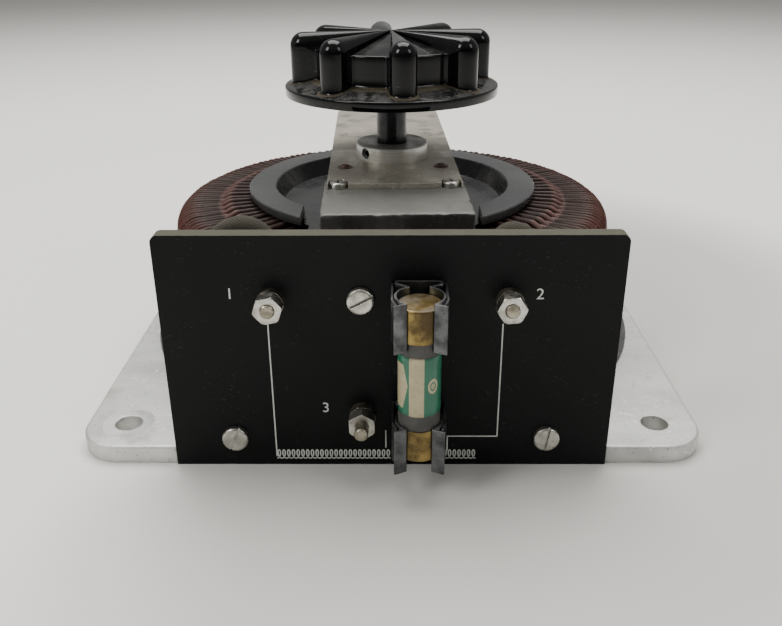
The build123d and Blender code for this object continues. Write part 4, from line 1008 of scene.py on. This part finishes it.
class VARIAC_OT_winding(bpy.types.Operator):
    """Lay the enamelled wire turns round the core"""
    bl_idname = "variac.winding"
    bl_label = "Winding"

    def execute(self, context):
        settings = context.scene.variac_winding
        chance = random.Random(settings.seed)
        half = settings.wire / 2
        turns = int(COIL_ARC / settings.pitch)
        points, faces, uv = [], [], []
        for turn in range(turns):
            outline = turn_outline(settings, turn % 2 == 1)
            angle = COIL_START + (turn + 0.5) * COIL_ARC / turns + chance.gauss(0.0, TURN_LEAN)
            lift = chance.gauss(0.0, TURN_LIFT)
            lean = chance.gauss(0.0, TURN_SPLAY)
            phase = chance.uniform(0.0, 50.0)
            radial = Vector((math.cos(angle), math.sin(angle), 0.0))
            across = Vector((-math.sin(angle), math.cos(angle), 0.0))
            base, count = len(points), len(outline)
            for i, spot in enumerate(outline):
                run = (outline[(i + 1) % count] - outline[i - 1]).normalized()
                outward = Vector((run.y, -run.x))
                crowd = max(0.0, min(1.0, (CROWDED_FROM - spot.x) / CROWDED_RUN))
                sway = noise.noise(Vector((spot.x * 90.0, spot.y * 60.0, phase))) * settings.sway
                sway = sway * (0.35 + 1.3 * crowd) + lean * (spot.x - SPLAY_FROM) / SPLAY_RUN
                in_track = settings.track_inner - ROUND_OFF <= spot.x <= settings.track_outer + ROUND_OFF
                flat = half - settings.track_flat if in_track and outward.y > 0.9 else half
                for k in range(settings.sides):
                    spin = 2 * math.pi * k / settings.sides
                    proud = min(half * math.cos(spin), flat)
                    middle = radial * (spot.x + outward.x * proud)
                    middle.z = spot.y + outward.y * proud + lift
                    points.append(middle + across * (half * math.sin(spin) + sway))
            for i in range(count):
                for k in range(settings.sides):
                    here, side = base + i * settings.sides, (k + 1) % settings.sides
                    there = base + ((i + 1) % count) * settings.sides
                    faces.append((here + k, there + k, there + side, here + side))
                    for ring, place_round in ((i, k), (i + 1, k), (i + 1, k + 1), (i, k + 1)):
                        # crest is 1 on the wire's outward face and 0 on its inner face; the finish paints shade
                        # between the turns from it.
                        crest = 0.5 + 0.5 * math.cos(2 * math.pi * place_round / settings.sides)
                        uv.append((ring / count, crest))
        piece = new_piece("winding_turns", points, faces, "frame", "enamelled_wire",
                          uv=uv, uv_name="wire")
        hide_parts(*WINDING_NODES)
        return {"FINISHED"}


# ---------------------------------------------------------------- knob

ROOF_SHARES = (0.03, 0.07, 0.13, 0.2, 0.3, 0.4, 0.5, 0.6, 0.7, 0.8, 0.88, 0.94, 1.0)
ROOF_ROWS = len(ROOF_SHARES)
DOME_ROWS = 8
WALL_ROWS = 4
FILLET_ROWS = 5
SKIRT_ROWS = 6
RIM_ARC_ROWS = 4
RIM_ROWS = RIM_ARC_ROWS + 3
UNDER_ROWS = 8
KNOB_ROWS = ROOF_ROWS + DOME_ROWS + WALL_ROWS + FILLET_ROWS + SKIRT_ROWS + RIM_ROWS + UNDER_ROWS
FOOT_ROW = ROOF_ROWS + DOME_ROWS + WALL_ROWS
FOOT_RUN = ((FOOT_ROW + 1) / KNOB_ROWS, (FOOT_ROW + FILLET_ROWS) / KNOB_ROWS)
SKIRT_RUN = ((FOOT_ROW + FILLET_ROWS - 1) / KNOB_ROWS, (FOOT_ROW + FILLET_ROWS + SKIRT_ROWS - 1) / KNOB_ROWS)
LOBE_STEPS = 9
FOOT_STEPS = 4
GAP_STEPS = 5
BODY_SOFT = 1.1 * MM
RIM_ROUND = 0.9 * MM
RIM_LIP = 0.7 * MM
HOLLOW_MARGIN = 7.0 * MM
HOLLOW_STEP = 1.4 * MM
HOLLOW_DROP = 5.0 * MM
BOSS_DROP = 2.0 * MM
BORE_RISE = 29.0 * MM
BORE_GAP = 0.05 * MM


class KnobShape:
    """The moulded knob as rings of points: over the roof, down the lobes, out along the skirt, under."""

    def __init__(self, settings):
        self.s = settings
        low, high = node_box("knob")
        self.foot, self.top = low.z, high.z
        self.rim = (high.x - low.x) / 2
        self.flare = math.atan2(settings.lobe, settings.lobe_centre)

    def sector(self):
        """Half of one lobe's plan outline, from its tip to the middle of the gap, as flat points."""
        s = self.s
        soft = s.fillet
        outline = [Vector((s.lobe_centre + s.lobe * math.cos(a), s.lobe * math.sin(a)))
                   for a in (math.pi / 2 * i / LOBE_STEPS for i in range(LOBE_STEPS + 1))]
        across = s.lobe + soft
        middle = Vector((math.sqrt((s.body + soft) ** 2 - across ** 2), across))
        start, end = -math.pi / 2, math.atan2(-middle.y, -middle.x)
        outline += [middle + soft * Vector((math.cos(a), math.sin(a)))
                    for a in (start + (end - start) * i / FOOT_STEPS for i in range(FOOT_STEPS + 1))]
        first, last = math.atan2(middle.y, middle.x), math.pi / s.lobes
        outline += [s.body * Vector((math.cos(a), math.sin(a)))
                    for a in (first + (last - first) * i / GAP_STEPS for i in range(1, GAP_STEPS + 1))]
        return outline

    def lines(self):
        """Every plan point of the outline: its polar angle, distance, and angle from its lobe's axis."""
        half = self.sector()
        both = [Vector((p.x, -p.y)) for p in reversed(half[1:-1])] + half
        made = []
        for i in range(self.s.lobes):
            turn = self.s.angle + 2 * math.pi * i / self.s.lobes
            for p in both:
                made.append((turn + math.atan2(p.y, p.x), p.length, math.atan2(p.y, p.x)))
        return made

    def roof(self, distance):
        """Height of the roof between the ridges."""
        rise = self.s.crown_rise - (self.s.crown_rise - self.s.body_rise) * distance / self.s.body
        return self.foot + rise

    def ridge(self, distance, away):
        """Height of a lobe's ridge or dome at a polar place."""
        s = self.s
        along, side = distance * math.cos(away), abs(distance * math.sin(away))
        slope = math.tan(self.flare)
        if along <= s.lobe_centre:
            width = along * slope
            return self.top - width + math.sqrt(max(width ** 2 - side ** 2, 0.0))
        gap = math.hypot(along - s.lobe_centre, side)
        return self.top - s.lobe + math.sqrt(max(s.lobe ** 2 - gap ** 2, 0.0))

    def skirt(self, distance):
        """Height of the skirt's upper face."""
        s = self.s
        share = (distance - s.body) / (self.rim - s.body)
        fall = s.neck_rise - (s.neck_rise - s.edge) * max(0.0, min(1.0, share))
        return self.foot + fall

    def line(self, away, distance):
        """One line of (distance, height) points from the middle of the roof to the skirt's rim."""
        s = self.s
        on_lobe = abs(away) <= self.flare + ROUND_OFF
        turn_in = s.lobe_centre / math.cos(away) if on_lobe else distance - BODY_SOFT
        made = []
        for share in ROOF_SHARES:
            r = turn_in * share
            made.append((r, self.ridge(r, away) if on_lobe else self.roof(r)))
        for k in range(1, DOME_ROWS + 1):
            a = math.pi / 2 * k / DOME_ROWS
            r = turn_in + (distance - turn_in) * math.sin(a)
            if on_lobe:
                made.append((r, self.ridge(r, away)))
            else:
                made.append((r, self.roof(turn_in) - BODY_SOFT * (1 - math.cos(a))))
        high = made[-1][1]
        low = self.skirt(distance + s.fillet) + s.fillet
        made += [(distance, high + (low - high) * k / WALL_ROWS) for k in range(1, WALL_ROWS + 1)]
        for k in range(1, FILLET_ROWS + 1):
            a = math.pi / 2 * k / FILLET_ROWS
            made.append((distance + s.fillet * (1 - math.cos(a)), low - s.fillet * math.sin(a)))
        start, edge = made[-1][0], self.rim - RIM_ROUND
        for k in range(1, SKIRT_ROWS + 1):
            r = start + (max(edge, start) - start) * k / SKIRT_ROWS
            made.append((r, self.skirt(r)))
        level = self.skirt(edge)
        for k in range(1, RIM_ARC_ROWS + 1):
            a = math.pi / 2 * k / RIM_ARC_ROWS
            made.append((edge + RIM_ROUND * math.sin(a), level - RIM_ROUND * (1 - math.cos(a))))
        return made + [(self.rim, self.foot + RIM_LIP), (self.rim - 0.2 * MM, self.foot + 0.2 * MM),
                       (self.rim - 0.8 * MM, self.foot)]

    def underside(self):
        """The hollow under the knob and the bore for the shaft, as (distance, height) points."""
        s = self.s
        bore_r = reach("shaft") + BORE_GAP if reach("shaft") < s.boss else s.boss / 2
        ledge = self.foot + s.edge - RIM_ROUND
        shell = s.body - s.wall
        roof = self.foot + s.body_rise
        mouth = self.rim - HOLLOW_MARGIN
        return [(mouth, self.foot), (mouth, ledge), (shell, self.foot + s.neck_rise - HOLLOW_STEP),
                (shell, roof - HOLLOW_DROP), (s.boss, roof - BOSS_DROP), (s.boss, self.foot),
                (bore_r, self.foot), (bore_r, self.foot + BORE_RISE)]


class VARIAC_OT_knob(bpy.types.Operator):
    """Mould the lobed knob"""
    bl_idname = "variac.knob"
    bl_label = "Knob"

    def execute(self, context):
        shape = KnobShape(context.scene.variac_knob)
        lines = shape.lines()
        under = shape.underside()
        points, faces, uv = [], [], []
        columns = []
        for turn, distance, away in lines:
            column = shape.line(away, distance) + under
            columns.append(column)
            points += [(r * math.cos(turn), r * math.sin(turn), z) for r, z in column]
        count, rows = len(lines), len(columns[0])
        if rows != KNOB_ROWS:
            raise RuntimeError("the knob's rows do not add up")
        for i in range(count):
            here, there = i * rows, ((i + 1) % count) * rows
            for k in range(rows - 1):
                faces.append((here + k, here + k + 1, there + k + 1, there + k))
                uv += [(i / count, k / rows), (i / count, (k + 1) / rows),
                       ((i + 1) / count, (k + 1) / rows), ((i + 1) / count, k / rows)]
        crown, socket = len(points), len(points) + 1
        points.append((0.0, 0.0, shape.top))
        points.append((0.0, 0.0, under[-1][1]))
        for i in range(count):
            here, there = i * rows, ((i + 1) % count) * rows
            faces.append((crown, here, there))
            uv += [(0.0, 0.0)] * 3
            faces.append((socket, there + rows - 1, here + rows - 1))
            uv += [(0.0, 1.0)] * 3
        piece = new_piece("knob_moulding", points, faces, "rotor", "knob_black",
                          sharp=math.radians(38.0), uv=uv, uv_name="profile")
        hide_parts("knob")
        return {"FINISHED"}


# ---------------------------------------------------------------- leads

LEFT_ROUTE = ((-0.0548, -0.14585, 0.1001), (-0.0550, -0.14585, 0.1135), (-0.0665, -0.14585, 0.1222),
              (-0.0800, -0.1449, 0.1156), (-0.0868, -0.1439, 0.0970), (-0.0886, -0.1419, 0.0600),
              (-0.1020, -0.1133, 0.0420), (-0.0897, -0.0996, 0.0420))
RIGHT_ROUTE = ((0.0518, -0.14585, 0.1003), (0.0490, -0.14585, 0.1120), (0.0560, -0.14585, 0.1188),
               (0.0662, -0.14585, 0.1125), (0.0696, -0.1449, 0.0981), (0.0726, -0.1419, 0.0600),
               (0.1020, -0.1133, 0.0420), (0.0897, -0.0996, 0.0420))


def spline_line(name, route, step):
    """Points at even steps along the smooth curve that a route's points control."""
    curve = bpy.data.curves.new(name + "_line", "CURVE")
    curve.dimensions = "3D"
    spline = curve.splines.new("NURBS")
    spline.points.add(len(route) - 1)
    for point, spot in zip(spline.points, route):
        point.co = (*spot, 1.0)
    spline.order_u = 3
    spline.use_endpoint_u = True
    spline.resolution_u = 24
    holder = bpy.data.objects.new(name + "_line", curve)
    mesh = bpy.data.meshes.new_from_object(holder)
    line = [v.co.copy() for v in mesh.vertices]
    bpy.data.objects.remove(holder)
    bpy.data.curves.remove(curve)
    bpy.data.meshes.remove(mesh)
    gaps = [(b - a).length for a, b in zip(line, line[1:])]
    total = sum(gaps)
    count = max(2, round(total / step))
    made, i, passed = [], 0, 0.0
    for k in range(count + 1):
        want = total * k / count
        while i < len(gaps) - 1 and passed + gaps[i] < want:
            passed += gaps[i]
            i += 1
        made.append(line[i].lerp(line[i + 1], min(1.0, (want - passed) / gaps[i])))
    return made, total


class VARIAC_OT_leads(bpy.types.Operator):
    """Weave the sleeves over the two winding leads"""
    bl_idname = "variac.leads"
    bl_label = "Leads"

    def execute(self, context):
        settings = context.scene.variac_leads
        for name, route in (("lead_left", LEFT_ROUTE), ("lead_right", RIGHT_ROUTE)):
            self.weave(settings, name, route)
        return {"FINISHED"}

    def weave(self, settings, name, route):
        """One sleeve along a route."""
        line, length = spline_line(name, route, settings.step)
        sides = settings.strands * 4
        points, faces, uv = [], [], []
        side = Vector((0.0, 0.0, 1.0)).cross(line[1] - line[0]).normalized()
        if side.length < 0.5:
            side = Vector((0.0, 1.0, 0.0))
        for i, spot in enumerate(line):
            ahead = (line[min(i + 1, len(line) - 1)] - line[max(i - 1, 0)]).normalized()
            side = (side - ahead * side.dot(ahead)).normalized()
            other = ahead.cross(side)
            run = length * i / (len(line) - 1) / settings.lay
            bulge = 0.18 * MM * noise.noise(spot * 120.0)
            for k in range(sides):
                spin = 2 * math.pi * k / sides
                right = math.sin((spin + 2 * math.pi * run) * settings.strands)
                left = math.sin((spin - 2 * math.pi * run) * settings.strands)
                out = settings.sleeve + bulge + settings.relief * (abs(right * left) - 0.4)
                points.append(spot + out * (math.cos(spin) * side + math.sin(spin) * other))
        rings = len(line)
        for i in range(rings - 1):
            for k in range(sides):
                a, b = i * sides + k, i * sides + (k + 1) % sides
                faces.append((a, b, b + sides, a + sides))
                run = [length * j / (rings - 1) / settings.lay for j in (i, i + 1)]
                uv += [(k / sides, run[0]), ((k + 1) / sides, run[0]),
                       ((k + 1) / sides, run[1]), (k / sides, run[1])]
        for ring, order in ((0, 1), (rings - 1, -1)):
            faces.append(tuple(ring * sides + k for k in range(sides))[::-order])
            uv += [(k / sides, 0.0) for k in range(sides)]
        piece = new_piece(name + "_sleeve", points, faces, "frame", "cotton_sleeve",
                          sharp=math.radians(60.0), uv=uv, uv_name="sleeve")
        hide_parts(name)


# ---------------------------------------------------------------- counterweight


LONG_EDGE = 5.0 * MM
NICK_WIDE = 1.6 * MM
NICK_TALL = 1.8 * MM
NICK_DEEP = 0.9 * MM
FACE_ROUGH = 0.10 * MM
TOP_ROUGH = 0.02 * MM
FACE_INSET = 0.05 * MM


class VARIAC_OT_counterweight(bpy.types.Operator):
    """Cast the counterweight, with its rough face and nicked edges"""
    bl_idname = "variac.counterweight"
    bl_label = "Counterweight"

    def execute(self, context):
        low, high = turned_box("counterweight", ARM_ANGLE)
        size, middle = high - low, (high + low) / 2
        shape = bmesh.new()
        bmesh.ops.create_cube(shape, size=1.0)
        bmesh.ops.scale(shape, vec=size, verts=shape.verts)
        bmesh.ops.bevel(shape, geom=shape.edges[:], offset=0.9 * MM, segments=3, profile=0.5,
                        affect="EDGES", clamp_overlap=True)
        for cuts, axis in ((60, 0), (36, 1), (8, 2)):
            edges = [e for e in shape.edges
                     if e.calc_length() > LONG_EDGE
                     and abs((e.verts[1].co - e.verts[0].co).normalized()[axis]) > 0.9]
            bmesh.ops.subdivide_edges(shape, edges=edges, cuts=cuts, use_grid_fill=True)
        bmesh.ops.recalc_face_normals(shape, faces=shape.faces)
        for v in shape.verts:
            self.age(v, size)
        turn = Matrix.Rotation(ARM_ANGLE, 4, "Z")
        shape.transform(turn @ Matrix.Translation(middle))
        mesh = bpy.data.meshes.new("counterweight_casting")
        shape.to_mesh(mesh)
        shape.free()
        mesh.polygons.foreach_set("use_smooth", [True] * len(mesh.polygons))
        piece = bpy.data.objects.new("counterweight_casting", mesh)
        context.scene.collection.objects.link(piece)
        mesh.materials.append(finish("lead_alloy"))
        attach(piece, "rotor")
        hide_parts("counterweight")
        return {"FINISHED"}

    def age(self, v, size):
        """Rough the faces and knock small nicks out of the top edges."""
        edge_gap = min(size.x / 2 - abs(v.co.x), v.co.y + size.y / 2)
        top_gap = size.z / 2 - v.co.z
        near_edge = max(0.0, 1.0 - edge_gap / NICK_WIDE) * max(0.0, 1.0 - top_gap / NICK_TALL)
        nick = max(0.0, noise.noise(v.co * 260.0) - 0.12) * 2.4 + max(0.0, noise.noise(v.co * 90.0)) * 0.7
        v.co -= v.normal * near_edge * nick * NICK_DEEP
        rough = noise.noise(v.co * 420.0) * (FACE_ROUGH if v.normal.z < 0.5 else TOP_ROUGH)
        v.co += v.normal * (rough - FACE_INSET)


# ---------------------------------------------------------------- markings


def ribbon(line, half):
    """Left and right edge points of a flat strip along an (x, z) line."""
    left, right = [], []
    count = len(line)
    for i, spot in enumerate(line):
        ahead = line[min(i + 1, count - 1)] - line[max(i - 1, 0)]
        across = Vector((-ahead.y, ahead.x)).normalized() * half
        left.append(spot + across)
        right.append(spot - across)
    return left, right


LINE_INSET = (1.2 * MM, 5.6 * MM)
SIGN_RISE = 3.6 * MM
STUD_DROP = 15.3 * MM
TAP_X = 25.7 * MM
TAP_STEP = 2.2 * MM
TURN_RISE = 8.0 * MM
WIPER_X = -2.4 * MM
WIPER_RUN = (1.3 * MM, 11.4 * MM)
SIGN_END = 0.9 * MM
TAP_LOOPS = 7
LOOP_STEPS = 22
LOOP_SWING = 1.15 * MM
MITRE = 0.3 * MM
CAPITAL_SHARE = 0.73
NUMBER_PLACES = {"1": (-73.2 * MM, 93.4 * MM), "2": (68.5 * MM, 93.1 * MM), "3": (-31.4 * MM, 33.1 * MM)}


class VARIAC_OT_markings(bpy.types.Operator):
    """Print the circuit lines, the winding sign and the terminal numbers on the board"""
    bl_idname = "variac.markings"
    bl_label = "Markings"

    def execute(self, context):
        settings = context.scene.variac_markings
        self.settings = settings
        stud_low, stud_high = node_box("terminal_studs")
        left_x = stud_low.x + LINE_INSET[0]
        right_x = stud_high.x - LINE_INSET[1]
        row_low = BOARD_LOW.z + SIGN_RISE
        row_high = row_low + settings.loop_rise
        stud_z = stud_high.z - STUD_DROP
        turn_z = row_high + TURN_RISE
        self.strips("circuit_lines", [
            [(left_x, stud_z), (left_x, row_low + LINE_INSET[0])],
            [(right_x, stud_z), (right_x, turn_z), (TAP_X + TAP_STEP, turn_z),
             (TAP_X + TAP_STEP, row_high - 0.5 * MM)],
            [(WIPER_X, row_high + WIPER_RUN[1]), (WIPER_X, row_high + WIPER_RUN[0])],
        ])
        self.strips("winding_sign", [
            self.loops(left_x, row_low, round((SIGN_END - left_x) / settings.loop_pitch)),
            self.loops(TAP_X, row_low, TAP_LOOPS),
        ])
        for number, (x, z) in NUMBER_PLACES.items():
            self.number(number, x, z)
        return {"FINISHED"}

    def loops(self, x, z, count):
        """The line of a row of loops, as a drawn coil."""
        s = self.settings
        line = []
        for i in range(count * LOOP_STEPS + 1):
            t = 2 * math.pi * i / LOOP_STEPS
            along = x + s.loop_pitch * (t / (2 * math.pi)) + LOOP_SWING * math.sin(t)
            line.append((along, z + s.loop_rise / 2 * (1 - math.cos(t))))
        return line

    def strips(self, name, lines):
        """Printed strips along (x, z) lines, standing a film's thickness off the board."""
        s = self.settings
        points, faces = [], []
        for flat_line in lines:
            line = [Vector(p) for p in flat_line]
            if len(line) < 6:
                line = self.square_ends(line)
            left, right = ribbon(line, s.line / 2)
            base = len(points)
            for a, b in zip(left, right):
                for spot, proud in ((a, 0.0), (a, s.film), (b, s.film), (b, 0.0)):
                    points.append((spot.x, BOARD_FACE - proud, spot.y))
            for i in range(len(line) - 1):
                here, there = base + 4 * i, base + 4 * i + 4
                for k in range(3):
                    faces.append((here + k, there + k, there + k + 1, here + k + 1))
            faces.append((base, base + 1, base + 2, base + 3))
            last = base + 4 * (len(line) - 1)
            faces.append((last + 3, last + 2, last + 1, last))
        new_piece(name, points, faces, "frame", "marking_white", sharp=math.radians(30.0))

    def square_ends(self, line):
        """A line whose bends get a short mitre on each side."""
        made = [line[0]]
        for before, here, after in zip(line, line[1:], line[2:]):
            back = (before - here).normalized()
            on = (after - here).normalized()
            made += [here + back * MITRE, here, here + on * MITRE]
        return made + [line[-1]]

    def number(self, text, x, z):
        """A terminal's number."""
        s = self.settings
        curve = bpy.data.curves.new("number_" + text, "FONT")
        curve.body = text
        curve.align_x, curve.align_y = "CENTER", "CENTER"
        curve.size = s.figure / CAPITAL_SHARE
        curve.extrude = s.film / 2
        curve.resolution_u = 6
        holder = bpy.data.objects.new("number_" + text, curve)
        mesh = bpy.data.meshes.new_from_object(holder)
        bpy.data.objects.remove(holder)
        bpy.data.curves.remove(curve)
        middle = (Vector(map(min, *[v.co for v in mesh.vertices])) +
                  Vector(map(max, *[v.co for v in mesh.vertices]))) / 2
        stand = Matrix.Translation((x, BOARD_FACE - s.film / 2, z)) @ Matrix.Rotation(math.pi / 2, 4, "X")
        mesh.transform(stand @ Matrix.Translation(-middle))
        mesh.materials.clear()
        mesh.materials.append(finish("marking_white"))
        piece = bpy.data.objects.new("terminal_number_" + text, mesh)
        bpy.context.scene.collection.objects.link(piece)
        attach(piece, "frame")


# ---------------------------------------------------------------- fuse wrap


WRAP_SIDES = 96
WRAP_ROWS = 10
LAP_SIDES = 6
PAPER_LAP = 0.12 * MM
PAPER_EDGE = 0.05 * MM
TUBE_GAP = 0.01 * MM


class VARIAC_OT_fuse_wrap(bpy.types.Operator):
    """Wrap the printed paper round the fuse"""
    bl_idname = "variac.fuse_wrap"
    bl_label = "Fuse wrap"

    def execute(self, context):
        settings = context.scene.variac_wrap
        low, high = node_box("fuse_tube")
        x, y = (low.x + high.x) / 2, (low.y + high.y) / 2
        inner = (high.x - low.x) / 2 + TUBE_GAP
        outer = inner + settings.paper
        bottom, top = settings.low, settings.high
        section = [(inner, bottom), (outer - PAPER_EDGE, bottom), (outer, bottom + PAPER_EDGE),
                   *[(outer, bottom + (top - bottom) * k / WRAP_ROWS) for k in range(1, WRAP_ROWS)],
                   (outer, top - PAPER_EDGE), (outer - PAPER_EDGE, top), (inner, top)]
        sides, rows = WRAP_SIDES, len(section)
        points, faces, uv = [], [], []
        for i in range(sides):
            spin = math.pi / 2 + 2 * math.pi * i / sides
            swell = PAPER_LAP * max(0.0, 1.0 - i / LAP_SIDES)
            for r, z in section:
                out = r + (swell if r > inner else 0.0)
                points.append((x + out * math.cos(spin), y + out * math.sin(spin), z))
        for i in range(sides):
            here, there = i * rows, ((i + 1) % sides) * rows
            for k in range(rows):
                up = (k + 1) % rows
                faces.append((here + k, there + k, there + up, here + up))
                for ring, level in ((i, k), (i + 1, k), (i + 1, up), (i, up)):
                    uv.append((ring / sides, (section[level][1] - bottom) / (top - bottom)))
        new_piece("fuse_wrap", points, faces, "fuse", "fuse_print",
                  sharp=math.radians(50.0), uv=uv, uv_name="wrap")
        return {"FINISHED"}


# ---------------------------------------------------------------- finishes on the CAD pieces


class VARIAC_OT_finishes(bpy.types.Operator):
    """Give every CAD piece the material of its slot"""
    bl_idname = "variac.finishes"
    bl_label = "Finishes"

    def execute(self, context):
        for effect in SHARED_EFFECTS:
            effect()
        for part in frame["record"]["subparts"]:
            mesh = frame["nodes"][part["node"]].data
            mesh.materials.clear()
            mesh.materials.append(finish(part["material_slot"]))
        return {"FINISHED"}


# ---------------------------------------------------------------- stage


LAMPS = (("overhead", (0.0, 0.6, 1.9), (1.8, 1.4), 56.0),
         ("window_left", (-1.5, -1.0, 1.5), (0.7, 0.9), 22.0),
         ("window_right", (1.6, -0.9, 1.5), (0.7, 0.9), 9.0))
LAMP_AIM = (0.0, 0.0, 0.1)
LAMP_COLOUR = (1.0, 0.985, 0.955)
FRONT_DIMMING = 0.80


class VARIAC_OT_stage(bpy.types.Operator):
    """Set the floor, the light and the camera"""
    bl_idname = "variac.stage"
    bl_label = "Stage"

    def execute(self, context):
        settings = context.scene.variac_stage
        self.lay_floor(settings)
        self.light(context, settings)
        self.camera(context, settings)
        return {"FINISHED"}

    def lay_floor(self, settings):
        """A pale floor with painted light and shade: a painted pool of light from 0.27 m out and towards the left,
        painted shade on the darker floor near the object, and a painted fall-off of light far away.
        """
        half = settings.floor_side / 2
        mesh = bpy.data.meshes.new("floor")
        mesh.from_pydata([(-half, -half, 0), (half, -half, 0), (half, half, 0), (-half, half, 0)], [],
                         [(0, 1, 2, 3)])
        material, tree, shader = new_finish("floor", specular=0.3)
        cloud = clouds(tree, 3.0, 0.2, 0.8)
        tooth = clouds(tree, 900.0)
        tone = mixed(tree, cloud, [c * 0.97 for c in settings.floor_colour], settings.floor_colour)
        point = place(tree)
        far = radius_of(tree, point)
        # Painted light: lighter from 0.27 m out and towards the left, fading by 3 m; the floor colour left nearer
        # the object is painted shade.
        left = span(tree, add(tree, "SeparateXYZ", {0: point}).outputs["X"], -0.04, -0.20)
        glow = times(tree, larger(tree, span(tree, far, 0.27, 0.42), left),
                     span(tree, far, 0.8, 3.0, 1.0, 0.0))
        tone = mixed(tree, glow, tone, settings.floor_painted_light)
        # Painted shade: the floor darkens far away, a painted fall-off of light.
        tone = mixed(tree, span(tree, far, 1.6, 6.0, 0.0, 0.6), tone, settings.floor_far_painted_shade)
        finish_off(tree, shader, tone, span(tree, tooth, 0.0, 1.0, 0.65, 0.75), tooth, 0.05, 0.0001)
        mesh.materials.append(material)
        floor = bpy.data.objects.new("floor", mesh)
        bpy.context.scene.collection.objects.link(floor)

    def light(self, context, settings):
        """Even light from all round, a wide light overhead and two soft windows."""
        world = bpy.data.worlds.new("soft_room")
        context.scene.world = world
        world.use_nodes = True
        sky = next(n for n in world.node_tree.nodes if n.type == "BACKGROUND")
        sky.inputs["Color"].default_value = (*settings.sky, 1.0)
        tree = world.node_tree
        ray = add(tree, "NewGeometry").outputs["Incoming"]
        toward = add(tree, "SeparateXYZ", {0: ray}).outputs
        front = times(tree, span(tree, toward["Y"], 0.05, 0.7), span(tree, toward["Z"], -0.75, -0.2))
        dimming = -FRONT_DIMMING * settings.sky_strength
        glow = maths(tree, "MULTIPLY_ADD", front, dimming, settings.sky_strength)
        tree.links.new(glow, sky.inputs["Strength"])
        for name, at, size, power in LAMPS:
            lamp = bpy.data.lights.new(name, "AREA")
            lamp.shape = "RECTANGLE"
            lamp.size, lamp.size_y = size
            lamp.energy = power
            lamp.color = LAMP_COLOUR
            holder = bpy.data.objects.new(name, lamp)
            holder.location = at
            holder.rotation_euler = (Vector(LAMP_AIM) - Vector(at)).to_track_quat("-Z", "Y").to_euler()
            context.scene.collection.objects.link(holder)

    def camera(self, context, settings):
        """The camera in front of the terminal board, looking down on it."""
        pitch, yaw = settings.pitch, settings.yaw
        ahead = Vector((math.sin(yaw) * math.cos(pitch), math.cos(yaw) * math.cos(pitch), -math.sin(pitch)))
        level = Vector((math.cos(yaw), -math.sin(yaw), 0.0))
        above = level.cross(ahead)
        right = math.cos(settings.roll) * level + math.sin(settings.roll) * above
        up = right.cross(ahead)
        data = bpy.data.cameras.new("camera")
        data.sensor_width = 36.0
        data.lens = settings.lens
        data.shift_y = settings.drop
        data.clip_start = 0.01
        data.clip_end = 100.0
        camera = bpy.data.objects.new("camera", data)
        stance = Matrix((right, up, -ahead)).transposed().to_4x4()
        camera.matrix_world = Matrix.Translation(settings.eye) @ stance
        context.scene.collection.objects.link(camera)
        context.scene.camera = camera


# ---------------------------------------------------------------- add-on

OPERATORS = (VARIAC_OT_finishes, VARIAC_OT_winding, VARIAC_OT_knob, VARIAC_OT_leads,
             VARIAC_OT_counterweight, VARIAC_OT_markings, VARIAC_OT_fuse_wrap, VARIAC_OT_stage)


class VARIAC_PT_panel(bpy.types.Panel):
    """Lists the pieces and their settings"""
    bl_idname = "VARIAC_PT_panel"
    bl_label = "Autotransformer"
    bl_space_type = "VIEW_3D"
    bl_region_type = "UI"
    bl_category = "Autotransformer"

    def draw(self, context):
        for operator in OPERATORS:
            self.layout.operator(operator.bl_idname)
        for name, group in SETTINGS.items():
            box = self.layout.box()
            for label in group.__annotations__:
                box.prop(getattr(context.scene, name), label)


def register():
    """Registers the settings, the operators and the panel."""
    for name, group in SETTINGS.items():
        bpy.utils.register_class(group)
        setattr(bpy.types.Scene, name, PointerProperty(type=group))
    for operator in OPERATORS:
        bpy.utils.register_class(operator)
    bpy.utils.register_class(VARIAC_PT_panel)


def unregister():
    """Takes the panel, the operators and the settings away again."""
    bpy.utils.unregister_class(VARIAC_PT_panel)
    for operator in reversed(OPERATORS):
        bpy.utils.unregister_class(operator)
    for name, group in SETTINGS.items():
        delattr(bpy.types.Scene, name)
        bpy.utils.unregister_class(group)


def main():
    """Builds every piece in order."""
    register()
    for operator in OPERATORS:
        group, name = operator.bl_idname.split(".")
        getattr(getattr(bpy.ops, group), name)()


if __name__ == "__main__":
    main()
